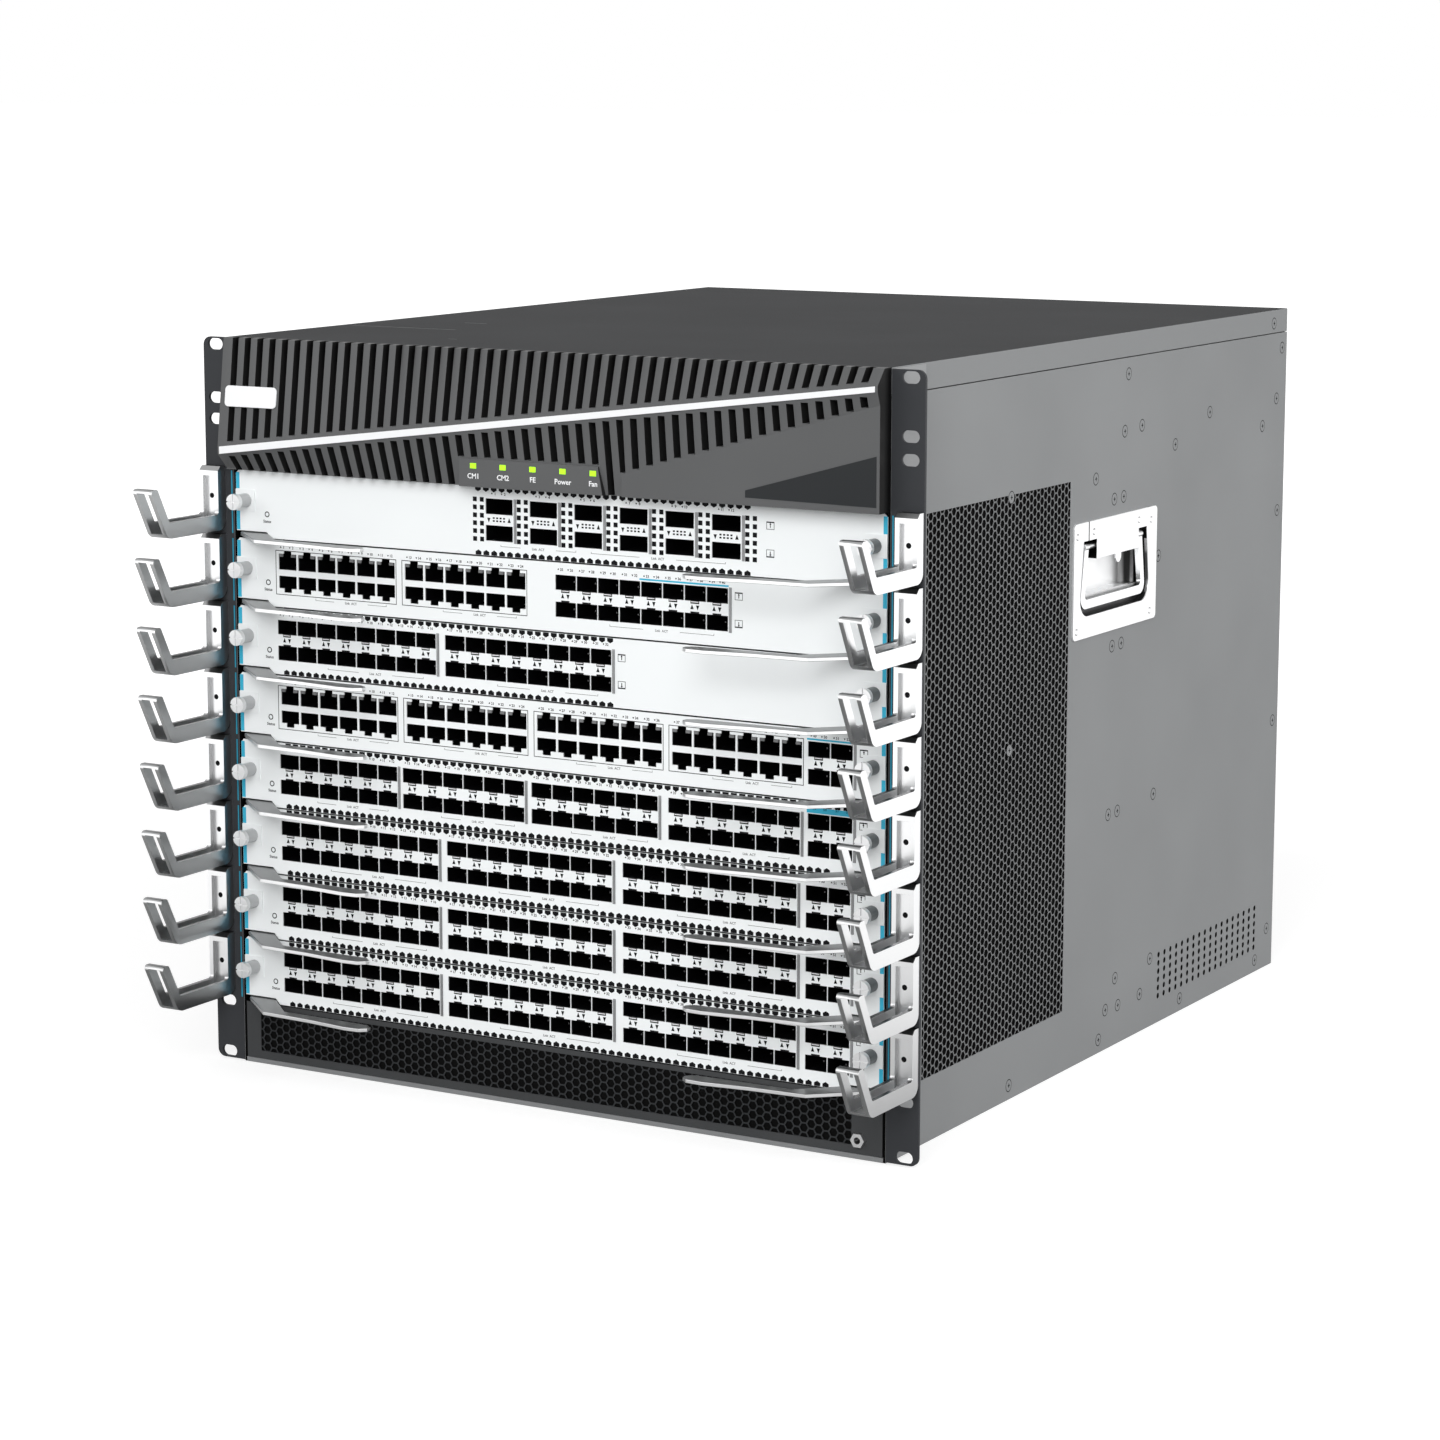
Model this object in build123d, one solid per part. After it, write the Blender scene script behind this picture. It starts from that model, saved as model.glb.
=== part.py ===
from build123d import *
import math
import os

# A ten-unit modular chassis switch for a 19 inch rack, in millimetres.
# +X runs to the right seen from the front, +Y to the back, +Z up.
# The origin is on the middle of the base, under the front face of the rack ears.

# Chassis
body_width = 442.0
body_depth = 558.6
foot_height = 38.42
bezel_height = 78.16
sheet = 1.5
cover_skirt = 15.0
seam_gap = 0.4
fold_gap = 0.1
seat_gap = 0.2
base_lip = 12.0

# Rack ears, with slots set out from both ends by the 19 inch rack standard
ear_flange = 20.3
ear_thickness = 2.0
ear_leg_depth = 36.0
ear_margin = 0.7
ear_corner = 5.0
slot_edge = 8.75
slot_length = 10.8
slot_width = 6.8
low_slots = (4.95, 36.7)
high_slots = (4.95, 36.7, 49.4)

# Line cards
card_count = 8
card_pitch = 40.64
card_gap = 0.94
card_side_gap = 1.8
card_face_thickness = 2.0
card_corner = 2.0
tray_inset = 12.2
tray_depth = 286.0
tray_floor = 1.2
tray_wall = 24.0
board_inset = 9.0
board_thickness = 1.6
board_height = 6.6
cage_depth = 44.0
socket_depth = 40.0
plug_half_width = 28.0
plug_height = 22.0
plug_depth = 14.0
plug_inset = 48.0
post_half = 6.0
post_front = 150.0
sink_places = (-90.0, 70.0)
sink_half = 26.0
sink_front = 180.0
sink_back = 232.0
sink_base = 6.0
sink_height = 20.0
fin_pitch = 12.0
fin_count = 5
socket_margin = 18.0

# Small pluggable sockets, in two rows
sfp_pitch = 14.25
sfp_width = 13.85
sfp_height = 8.7
sfp_lower = 8.55
sfp_upper_drop = 15.6
cage_rim = 0.6
cage_lid = 0.8

# Large pluggable sockets of the first card
qsfp_pitch = 30.05
qsfp_width = 18.5
qsfp_height = 9.0
qsfp_lower = 8.6
qsfp_upper_drop = 15.7

# Copper jacks, in two rows with their latch notches outward
jack_pitch = 14.15
jack_width = 12.9
jack_lower = 11.3
jack_lower_height = 7.5
jack_upper_drop = 17.2
jack_upper_height = 9.5
latch_width = 5.6
latch_height = 2.4
upper_latch_height = 1.6

# Which sockets each card carries: kind, distance from the face's left edge, columns
card_layouts = {
    1: [("large", 178.0, 6)],
    2: [("jack", 29.8, 6), ("jack", 120.6, 6), ("small", 224.9, 8)],
    3: [("small", 28.6, 8), ("small", 148.6, 8)],
    4: [("jack", 29.8, 6), ("jack", 120.6, 6), ("jack", 211.4, 6), ("jack", 301.8, 6),
        ("small", 389.6, 2)],
    5: [("small", 28.6, 6), ("small", 117.6, 6), ("small", 207.6, 6), ("small", 299.6, 6),
        ("small", 389.6, 2)],
}
plain_layout = [("small", 28.6, 8), ("small", 148.4, 8), ("small", 269.2, 8), ("small", 388.6, 2)]

# Ejector levers under each card, drawn from their pivots
lever_thickness = 2.2
lever_notch = 3.5
lever_clear = 0.6
lever_inset = 17.2
lever_setback = 9.0
lever_hub_radius = 7.5
lever_pin_radius = 2.5
lever_pin_gap = 0.05
lever_slot_width = 5.0
lever_slot_slope = 3.2
lever_length = 94.0
lever_reach = 43.3
lever_arm = 10.5
lever_claw = 13.0
lever_elbow = 16.5
lever_elbow_run = 35.0
rivet_head = 0.5
rivet_rim = 1.2

# Captive thumbscrews, two on each card, drawn out as the photo shows them
screw_inset = 7.5
screw_height = 21.9
screw_head_radius = 4.8
screw_head_depth = 3.2
screw_body_radius = 4.1
screw_length = 13.0
screw_slot_width = 0.9
screw_slot_depth = 1.0
screw_base_half = 6.4
screw_base_thickness = 0.6
screw_shank_radius = 2.0
screw_shank_length = 11.0
screw_hole_gap = 0.35

# Frames that carry the cards on each side
guide_inset = 1.0
guide_rail_reach = 2.0
guide_rail_height = 2.4
guide_post_front = 18.5
guide_post_depth = 12.0
guide_back_depth = 8.0
guide_handle_gap = 3.6
guide_drop = 2.0
guide_headroom = 0.5

# Cable hooks on the ears, one beside each card
hook_inset = 6.2
hook_width = 13.8
hook_plate = 7.2
hook_bottom = 3.3
hook_gap = 2.4
hook_bevel = 2.6
hook_arm_height = 9.4
hook_reach = 53.8
hook_slope = 0.52
hook_bar = 6.9
hook_top = 33.4
hook_rim = 2.2
hook_wall = 2.7
hook_floor = 2.6
hook_recess = 3.0
hook_recess_drop = 5.6
hook_bend = 7.0
hook_small_bend = 2.0
hook_screw_height = 23.8
hook_screw_radius = 1.6

# Bezel over the power bay
bezel_side_gap = 0.5
bezel_top_y = -7.5
ridge_y = -15.5
panel_y = -12.5
left_foot_y = -7.0
mid_foot_y = -9.2
bezel_back_wall = 2.0
bezel_foot = 0.8
strip_side_gap = 1.5
strip_left_rise = 9.66
strip_left_height = 4.6
strip_right_drop = 9.0
strip_right_height = 3.4
strip_proud = 0.8
strip_inset = 0.1
panel_width = 162.5
panel_left_rise = 12.46
panel_right_drop = 19.5
slat_pitch = 9.0
slat_gap = 4.4
strip_margin = 2.0
bar_gap = 12.5
bar_width = 96.5
bar_height = 16.06
bar_slope = 3.0

# Blank plate and lamps on the bezel
badge_inset = 4.3
badge_width = 37.2
badge_height = 12.4
badge_drop = 34.1
badge_thickness = 1.0
badge_corner = 2.6
badge_seat = 0.05
lamp_inset = 10.0
lamp_pitch = 20.1
lamp_count = 5
lamp_rise = 12.16
lamp_width = 4.0
lamp_height = 3.0
lamp_proud = 0.4

# Air intake and ground jack at the foot
intake_bottom = 3.0
intake_gap = 0.82
intake_side_gap = 0.6
intake_thickness = 1.5
intake_foot_depth = 12.0
intake_field_left = 12.5
intake_field_right = 21.5
intake_field_low = 4.8
intake_field_high = 3.0
field_depth = 0.6
jack_inset = 16.8
jack_z = 11.2
jack_nut_radius = 4.4
jack_nut_depth = 2.4
jack_flange_rim = 1.6
ground_bore = 2.0
ground_barrel = 3.2
ground_length = 12.0
ground_bore_gap = 0.05

# Sunk hole fields of the side sheets
field_front = 42.4
field_handle_gap = 4.0
field_foot_gap = 0.8
field_top_gap = 5.1
vent_back_inset = 28.6
vent_length = 163.0
vent_low = 14.2
vent_height = 32.8

# Lifting handles: a plate with a shallow recess for the bail and a deep finger pocket
handle_front = 231.6
handle_length = 119.6
handle_drop = 94.3
handle_height = 69.8
handle_corner = 3.0
handle_plate_thickness = 1.2
handle_wall = 1.2
handle_window_gap = 0.1
recess_depth = 5.5
recess_side = 7.6
recess_back_side = 9.7
recess_low = 12.9
recess_top = 11.4
recess_taper = 5.6
recess_bend = 11.0
pocket_depth = 12.6
pocket_front = 21.2
pocket_length = 75.6
pocket_low = 24.4
pocket_height = 22.0
pocket_bend = 8.0
tongue_gap = 10.8
slit_width = 1.0
slit_place = 19.8

# Hanging bails
bail_gap = 4.2
bail_leg = 6.0
bail_grip_height = 5.6
bail_thickness = 3.0
bail_axis_depth = 2.8
bail_axis_drop = 15.4
bail_eye_radius = 2.3
bail_pin_radius = 1.9
bail_pin_gap = 0.06
bail_pin_length = 4.5
bail_pin_end = 0.5

# Midplane and rear modules
midplane_gap = 4.0
midplane_thickness = 3.0
midplane_side_gap = 2.0
deck_thickness = 1.2
deck_rise = 0.6
deck_front = 4.0
supply_count = 4
supply_side_room = 3.5
supply_gap = 4.0
supply_headroom = 8.6
supply_depth = 230.0
supply_grip = 26.0
grip_inset = 14.0
grip_half = 4.0
grip_bar = 6.0
grip_low = 10.0
grip_high = 8.0
grip_plate = 5.0
inlet_inset = 8.0
inlet_width = 28.0
inlet_low = 10.0
inlet_height = 24.0
inlet_depth = 16.0
supply_vent_count = 4
supply_vent_pitch = 9.0
supply_vent_width = 5.0
supply_vent_depth = 6.0
supply_vent_margin = 12.0
face_overlap = 1.5
face_thickness = 2.0
fan_side_room = 5.5
fan_bottom = 98.0
fan_top_gap = 4.1
fan_depth = 96.0
fan_wall = 2.0
fan_middle_web = 16.0
fan_side_web = 10.0
fan_lip = 3.0
rotor_tip_gap = 4.0
rotor_hub = 34.0
rotor_depth = 38.0
rotor_pin_radius = 4.0
rotor_pin_gap = 0.06
blade_count = 7
blade_thickness = 2.2
blade_twist = 38.0
motor_depth = 8.0
motor_gap = 0.5
guard_rings = 4
guard_bar = 2.4
guard_sides = 16
module_count = 2
module_gap = 6.0
module_side_gap = 6.0
module_floor = 10.0

# Values worked out from the ones above
half_body = body_width / 2
half_inner = half_body - sheet
sheet_edge = half_inner - fold_gap
bay_top = foot_height + card_count * card_pitch
body_height = bay_top + bezel_height
cover_under = body_height - sheet
seam_height = body_height - cover_skirt
half_ear = half_body + ear_flange
card_face_height = card_pitch - card_gap
half_face = half_body - card_side_gap
half_tray = half_face - tray_inset
half_board = half_tray - board_inset
socket_limit = half_face - socket_margin
sfp_upper = card_face_height - sfp_upper_drop
qsfp_upper = card_face_height - qsfp_upper_drop
jack_upper = card_face_height - jack_upper_drop
lever_pivot_x = half_face - lever_inset
lever_slot_inner = lever_pivot_x - lever_slot_width
lever_low = lever_notch - lever_clear - lever_thickness
screw_x = half_face - screw_inset
guide_inner = half_tray + guide_inset
guide_back = handle_front - guide_handle_gap
hook_inner_x = half_body + hook_inset
bezel_half = half_body - bezel_side_gap
strip_half = bezel_half - strip_side_gap
strip_left = bay_top + strip_left_rise
strip_right = body_height - strip_right_drop - strip_right_height
strip_slope_bottom = (strip_right - strip_left) / (2 * strip_half)
strip_slope_top = strip_slope_bottom + (strip_right_height - strip_left_height) / (2 * strip_half)
panel_left = bezel_half - panel_width
panel_left_z = bay_top + panel_left_rise
panel_right_z = body_height - panel_right_drop
bar_right = panel_left - bar_gap
bar_left = bar_right - bar_width
bar_top = bay_top + bar_height
slat_count = round(2 * bezel_half / slat_pitch) - 1
intake_top = foot_height - intake_gap
jack_x = half_body - jack_inset
handle_back = handle_front + handle_length
handle_top = seam_height - handle_drop
handle_bottom = handle_top - handle_height
handle_face = half_body + handle_plate_thickness
recess_floor = handle_face - recess_depth
recess_front = handle_front + recess_side
recess_back = handle_back - recess_back_side
recess_bottom = handle_bottom + recess_low
recess_ceiling = handle_top - recess_top
pocket_y0 = handle_front + pocket_front
pocket_y1 = pocket_y0 + pocket_length
pocket_z0 = handle_bottom + pocket_low
pocket_z1 = pocket_z0 + pocket_height
tongue_front = pocket_y0 + tongue_gap
tongue_back = pocket_y1 - bail_pin_length
bail_axis_x = handle_face - bail_axis_depth
bail_axis_z = handle_top - bail_axis_drop
midplane_front = tray_depth + midplane_gap
deck_bottom = bay_top + deck_rise
deck_top = deck_bottom + deck_thickness
supply_bottom = deck_top + seat_gap
supply_height = cover_under - supply_headroom - supply_bottom
supply_pitch = 2 * (half_inner - supply_side_room) / supply_count
supply_width = supply_pitch - supply_gap
fan_width = 2 * (half_inner - fan_side_room)
fan_radius = (fan_width / 2 - fan_side_web - fan_middle_web / 2) / 2
fan_centre = fan_radius + fan_middle_web / 2
fan_height = deck_bottom - fan_top_gap - fan_bottom
rotor_radius = fan_radius - rotor_tip_gap


def block(x0, x1, y0, y1, z0, z1):
    """A box from its six limits."""
    centre = Pos((x0 + x1) / 2, (y0 + y1) / 2, (z0 + z1) / 2)
    return centre * Box(x1 - x0, y1 - y0, z1 - z0)


def rod_y(x, y0, y1, z, radius):
    """A round bar along Y."""
    return Pos(x, (y0 + y1) / 2, z) * Rot(90, 0, 0) * Cylinder(radius, y1 - y0)


def rod_z(x, y, z0, z1, radius):
    """A round bar along Z."""
    return Pos(x, y, (z0 + z1) / 2) * Cylinder(radius, z1 - z0)


def front_prism(points, y0, y1):
    """A prism whose outline lies in the XZ plane."""
    face = make_face(Polyline([(x, y1, z) for x, z in points], close=True))
    return extrude(face, amount=y1 - y0, dir=(0, -1, 0))


def side_prism(points, x0, x1):
    """A prism whose outline lies in the YZ plane."""
    face = make_face(Polyline([(x0, y, z) for y, z in points], close=True))
    return extrude(face, amount=x1 - x0, dir=(1, 0, 0))


def plan_prism(points, z0, z1):
    """A prism whose outline lies in the XY plane."""
    face = make_face(Polyline([(x, y, z0) for x, y in points], close=True))
    return extrude(face, amount=z1 - z0, dir=(0, 0, 1))


def rounded_side_prism(corners, x0, x1):
    """A prism from the corners (y, z, bend radius) of its outline in the YZ plane."""
    prism = side_prism([(y, z) for y, z, radius in corners], x0, x1)
    for y, z, radius in corners:
        if radius:
            edge = prism.edges().filter_by(Axis.X).sort_by_distance(((x0 + x1) / 2, y, z))[0]
            prism = fillet(edge, radius)
    return prism


def mirrored(shape):
    """The same piece on the other side of the chassis."""
    return mirror(shape, about=Plane.YZ)


def joined(shapes):
    """One solid from several that touch."""
    first, *rest = shapes
    return first + rest


def card_bottom(number):
    """Lower edge of a card's face, counted from 1 at the top."""
    return foot_height + (card_count - number) * card_pitch


# Chassis sheets


def side_panel():
    """Right side sheet with its sunk hole fields and handle window."""
    panel = block(half_inner, half_body, seat_gap, body_depth, 0, seam_height - seam_gap)
    sunk = half_body - field_depth
    panel -= block(sunk, half_body + 1, field_front, handle_front - field_handle_gap,
                   foot_height - field_foot_gap, bay_top - field_top_gap)
    vent_back = body_depth - vent_back_inset
    panel -= block(sunk, half_body + 1, vent_back - vent_length, vent_back, vent_low,
                   vent_low + vent_height)
    side = handle_wall + handle_window_gap
    panel -= block(half_inner - 1, half_body + 1, recess_front - side, recess_back + side,
                   recess_bottom - side, recess_ceiling + side)
    return panel


def chassis_base():
    """Folded floor with its side and front lips, and the rear frame in one sheet."""
    wide = sheet_edge
    back = body_depth - sheet
    floor = block(-wide, wide, 0, body_depth, 0, sheet)
    left = block(-wide, -wide + sheet, sheet, body_depth, 0, base_lip)
    right = block(wide - sheet, wide, sheet, body_depth, 0, base_lip)
    front = block(-wide, wide, 0, sheet, 0, intake_bottom - seat_gap)
    rear = block(-wide, wide, back, body_depth, 0, cover_under - fold_gap)
    sill_top = fan_bottom - seat_gap
    sill = block(-wide, wide, back - fan_depth, body_depth, sill_top - sheet, sill_top)
    base = joined([floor, left, right, front, rear, sill])
    half_fan = fan_width / 2 + 1
    cuts = [block(-half_fan, half_fan, back - 1, body_depth + 1, sill_top,
                  fan_bottom + fan_height + 1)]
    for index in range(supply_count):
        x = (index - (supply_count - 1) / 2) * supply_pitch
        half = supply_width / 2 + 1
        cuts.append(block(x - half, x + half, back - 1, body_depth + 1, deck_top,
                          supply_bottom + supply_height + 1))
    base -= cuts
    module_pitch = 2 * half_inner / module_count
    half = module_pitch / 2 - module_side_gap
    plates = []
    for index in range(module_count):
        x = (index - (module_count - 1) / 2) * module_pitch
        plates.append(block(x - half, x + half, body_depth, body_depth + face_thickness,
                            module_floor, fan_bottom - module_gap))
    return joined([base] + plates)


def top_cover():
    """Top sheet with side skirts folded down to the seam."""
    top = block(-half_body, half_body, seat_gap, body_depth, cover_under, body_height)
    right = block(half_inner, half_body, seat_gap, body_depth, seam_height, body_height)
    return joined([top, right, mirrored(right)])


def rack_ear():
    """Right ear: a flange with the rack slots and a leg against the side sheet."""
    low, high = ear_margin, body_height - ear_margin
    flange = block(half_body, half_ear, 0, ear_thickness, low, high)
    corners = flange.edges().filter_by(Axis.Y).group_by(Axis.X)[-1]
    flange = fillet(corners, ear_corner)
    leg_face = half_body + ear_thickness
    leg = block(half_body, leg_face, 0, ear_leg_depth, low, high)
    slot = Rot(90, 0, 0) * extrude(SlotOverall(slot_length, slot_width), amount=20, both=True)
    heights = list(low_slots) + [body_height - drop for drop in high_slots]
    slots = [Pos(half_ear - slot_edge, 0, z) * slot for z in heights]
    slots = [piece & block(leg_face, half_ear + 1, -1, ear_thickness + 1, low, high + slot_width)
             for piece in slots]
    holes = [rod_y(hook_inner_x + hook_width / 2, -1, ear_thickness + 1,
                   card_bottom(number) + hook_screw_height, hook_screw_radius)
             for number in range(1, card_count + 1)]
    return flange + leg - slots - holes


def power_deck():
    """Sheet between the card bay and the power bay."""
    return block(-sheet_edge, sheet_edge, deck_front, body_depth - sheet - fold_gap, deck_bottom,
                 deck_top)


def midplane():
    """Board across the chassis that the cards plug into."""
    wide = handle_face - pocket_depth - handle_wall - midplane_side_gap
    return block(-wide, wide, midplane_front, midplane_front + midplane_thickness,
                 sheet + fold_gap, deck_bottom - fold_gap)


# Card bay


def card_guide():
    """Right card frame: a front post behind the lever hubs, rails and a rear post."""
    outer = sheet_edge
    front = guide_post_front
    back = front + guide_post_depth
    low, high = foot_height - guide_drop, bay_top - guide_headroom
    pieces = [
        block(guide_inner, outer, front, back, low, high),
        block(guide_inner, outer, guide_back - guide_back_depth, guide_back, low, high),
        block(guide_inner, outer, front, guide_back, low, low + sheet),
    ]
    holes = []
    for number in range(1, card_count + 1):
        bottom = card_bottom(number)
        top = bottom + lever_notch - seat_gap
        pieces.append(block(half_tray - guide_rail_reach, outer, back, guide_back,
                            top - guide_rail_height, top))
        holes.append(rod_y(screw_x, front - 1, back + 1, bottom + screw_height,
                           screw_shank_radius + screw_hole_gap))
    return joined(pieces) - holes


def card_face(low):
    """Face of a card with slots for the levers in its lower corners and its screw seats."""
    top = low + card_face_height
    slot_top = low + lever_notch
    inner = lever_slot_inner
    half = [(inner - lever_slot_slope, low), (inner, slot_top), (half_face, slot_top),
            (half_face, top - card_corner), (half_face - card_corner, top)]
    points = half + [(-x, z) for x, z in reversed(half)]
    face = front_prism(points, 0, card_face_thickness)
    z = low + screw_height
    seat = block(screw_x - screw_base_half, half_face, -screw_base_thickness, 0,
                 z - screw_base_half, z + screw_base_half)
    return joined([face, seat, mirrored(seat)])


def upright_socket(x0, x1, z0, z1):
    """Outline of a plain rectangular socket."""
    return [(x0, z0), (x1, z0), (x1, z1), (x0, z1)]


def latched_socket(x0, x1, z0, z1, notch):
    """Outline of a copper jack whose latch notch lies beyond z1."""
    a = (x0 + x1 - latch_width) / 2
    b = a + latch_width
    return [(x0, z0), (x1, z0), (x1, z1), (b, z1), (b, notch), (a, notch), (a, z1), (x0, z1)]


def small_pair(x):
    """Outlines of two small pluggable sockets, one above the other."""
    x0 = x + (sfp_pitch - sfp_width) / 2
    return [upright_socket(x0, x0 + sfp_width, z, z + sfp_height)
            for z in (sfp_lower, sfp_upper)]


def large_pair(x):
    """Outlines of two large pluggable sockets, one above the other."""
    return [upright_socket(x, x + qsfp_width, z, z + qsfp_height)
            for z in (qsfp_lower, qsfp_upper)]


def jack_pair(x):
    """Outlines of two copper jacks with their latch notches outward."""
    x0 = x + (jack_pitch - jack_width) / 2
    x1 = x0 + jack_width
    high = jack_upper + jack_upper_height
    return [latched_socket(x0, x1, jack_lower + jack_lower_height, jack_lower,
                           jack_lower - latch_height),
            latched_socket(x0, x1, jack_upper, high, high + upper_latch_height)]


def socket_group(kind, start, columns):
    """Cages as (x0, x1, z0, z1) and socket outlines of one group; what doesn't fit is left out."""
    pair, pitch, width, low, high = {
        "small": (small_pair, sfp_pitch, sfp_pitch, sfp_lower, sfp_upper + sfp_height),
        "large": (large_pair, qsfp_pitch, qsfp_width, qsfp_lower, qsfp_upper + qsfp_height),
        "jack": (jack_pair, jack_pitch, jack_pitch, jack_lower - latch_height,
                 jack_upper + jack_upper_height + upper_latch_height),
    }[kind]
    places = [start + column * pitch for column in range(columns)]
    places = [x for x in places if x + width < socket_limit]
    spans = [(x, x + width) for x in places]
    if kind != "large" and places:
        spans = [(places[0], places[-1] + width)]
    cages = [(x0 - cage_rim, x1 + cage_rim, low - cage_lid, high + cage_lid) for x0, x1 in spans]
    sockets = [outline for x in places for outline in pair(x)]
    return cages, sockets


def tray_parts(low):
    """Tray, board, stand-offs, rear connectors and heat sinks of a card."""
    floor = low + lever_notch
    back = card_face_thickness
    board = low + board_height
    board_top = board + board_thickness
    pieces = [block(-half_tray, half_tray, back, tray_depth, floor, floor + tray_floor)]
    for x in (-half_tray, half_tray - tray_floor):
        pieces.append(block(x, x + tray_floor, back, tray_depth, floor, floor + tray_wall))
    pieces.append(block(-half_board, half_board, back, tray_depth, board, board_top))
    for x in (plug_inset - half_board, 0, half_board - plug_inset):
        pieces.append(block(x - post_half, x + post_half, post_front, post_front + 2 * post_half,
                            floor, board_top))
        pieces.append(block(x - plug_half_width, x + plug_half_width, tray_depth - plug_depth,
                            tray_depth, board, board + plug_height))
    for x in sink_places:
        pieces.append(block(x - sink_half, x + sink_half, sink_front, sink_back, board,
                            board + sink_base))
        for fin in range(fin_count):
            edge = x - sink_half + 1 + fin * fin_pitch
            pieces.append(block(edge, edge + 2, sink_front, sink_back, board,
                                board + sink_height))
    return pieces


def line_card(number):
    """Face, tray, board and cages of one card, with its sockets open."""
    low = card_bottom(number)
    back = card_face_thickness
    pieces = [card_face(low)] + tray_parts(low)
    cuts = []
    for kind, from_left, columns in card_layouts.get(number, plain_layout):
        cages, sockets = socket_group(kind, from_left - half_face, columns)
        pieces += [block(x0, x1, back, back + cage_depth, low + z0, low + z1)
                   for x0, x1, z0, z1 in cages]
        cuts += [front_prism([(x, low + z) for x, z in outline], -1, socket_depth)
                 for outline in sockets]
    for side in (-1, 1):
        cuts.append(rod_y(side * screw_x, -2, back + 1, low + screw_height,
                          screw_shank_radius + screw_hole_gap))
    card = joined(pieces) - cuts
    pins = []
    head = low + lever_low - fold_gap
    for side in (-1, 1):
        x = side * lever_pivot_x
        pins.append(rod_z(x, lever_setback, head, low + lever_notch, lever_pin_radius))
        pins.append(rod_z(x, lever_setback, head - rivet_head, head,
                          lever_pin_radius + rivet_rim))
    return joined([card] + pins)


def ejector_lever(number):
    """Right lever of a card: a hub under the tray and a long arm in front of the face."""
    low = card_bottom(number) + lever_low
    neck = -lever_slot_width + 0.3
    arm_back = lever_reach - lever_arm
    outline = [
        (neck, -1), (lever_claw - 6, -1), (lever_claw, -8.5), (lever_claw, -11),
        (-lever_elbow, -lever_reach + 6),
        (-lever_elbow - lever_elbow_run, -lever_reach + 3.8),
        (-lever_length + 14, -lever_reach), (-lever_length + 4, -lever_reach + 0.6),
        (-lever_length, -lever_reach + 4), (-lever_length, -arm_back - 3),
        (-lever_length + 5, -arm_back + 0.4), (-lever_elbow - 11, -arm_back + 2), (neck, -8.7),
    ]
    points = [(lever_pivot_x + x, lever_setback + y) for x, y in outline]
    plate = plan_prism(points, low, low + lever_thickness)
    hub = rod_z(lever_pivot_x, lever_setback, low, low + lever_thickness, lever_hub_radius)
    hole = rod_z(lever_pivot_x, lever_setback, low - 1, low + lever_thickness + 1,
                 lever_pin_radius + lever_pin_gap)
    return plate + hub - hole


def thumbscrews(number):
    """The two captive screws of a card: a cross-slotted head, a body and a shank each."""
    z = card_bottom(number) + screw_height
    seat = -screw_base_thickness
    front = seat - screw_length
    half = screw_slot_width / 2
    screws = []
    for side in (-1, 1):
        x = side * screw_x
        head = rod_y(x, front, front + screw_head_depth, z, screw_head_radius)
        head -= block(x - half, x + half, front - 1, front + screw_slot_depth,
                      z - screw_head_radius, z + screw_head_radius)
        head -= block(x - screw_head_radius, x + screw_head_radius, front - 1,
                      front + screw_slot_depth, z - half, z + half)
        body = rod_y(x, front + screw_head_depth, seat, z, screw_body_radius)
        shank = rod_y(x, seat, screw_shank_length, z, screw_shank_radius)
        screws.append(joined([head, body, shank]))
    return Compound(screws)


def cable_hook(x0, low):
    """A cast hook: plate on the ear, grooved arm and an open ring that leans forward."""
    x1 = x0 + hook_width
    bottom = low + hook_bottom
    arm_top = bottom + hook_arm_height
    top = bottom + card_pitch - hook_gap
    tip = low + hook_top
    heel = -hook_reach + hook_slope * hook_arm_height
    lean = hook_slope * (tip - arm_top)
    hook = rounded_side_prism([
        (0, top, 0), (hook_bevel - hook_plate, top, 0), (-hook_plate, top - hook_bevel, 0),
        (-hook_plate, arm_top, hook_small_bend), (-hook_reach, arm_top, hook_small_bend),
        (-hook_reach - lean, tip, hook_small_bend),
        (-hook_reach - lean - hook_bar, tip, hook_small_bend),
        (heel - hook_bar, bottom, hook_bend), (0, bottom, hook_bend),
    ], x0, x1)
    a, b = x0 + hook_wall, x1 - hook_wall
    floor = bottom + hook_floor
    inside = hook_recess - hook_plate
    recess = block(a, b, -hook_plate - 1, inside, floor, top - hook_recess_drop)
    groove = block(a, b, -hook_reach, inside, floor, arm_top + 1)
    eye_top = tip - hook_rim
    reach_top = hook_reach + hook_slope * (eye_top - arm_top)
    eye = side_prism([
        (hook_bar - hook_reach, floor), (hook_bar - reach_top, eye_top),
        (-reach_top - 2 * hook_bar, eye_top), (-hook_reach - 2 * hook_bar, floor),
    ], a, b)
    hole = rod_y((x0 + x1) / 2, -hook_plate, 1, low + hook_screw_height, hook_screw_radius)
    return hook - recess - groove - eye - hole


def cable_hooks():
    """All sixteen hooks, eight on each ear."""
    hooks = []
    for number in range(1, card_count + 1):
        low = card_bottom(number)
        hooks.append(cable_hook(hook_inner_x, low))
        hooks.append(cable_hook(-hook_inner_x - hook_width, low))
    return Compound(hooks)


# Front bezel


def ridge_top(x):
    """Upper edge of the light strip at x."""
    return strip_left + strip_left_height + (x + strip_half) * strip_slope_top


def ridge_bottom(x):
    """Lower edge of the light strip at x."""
    return strip_left + (x + strip_half) * strip_slope_bottom


def panel_top(x):
    """Upper edge of the plain panel at the lower right."""
    return panel_left_z + (x - panel_left) * (panel_right_z - panel_left_z) / panel_width


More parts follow.
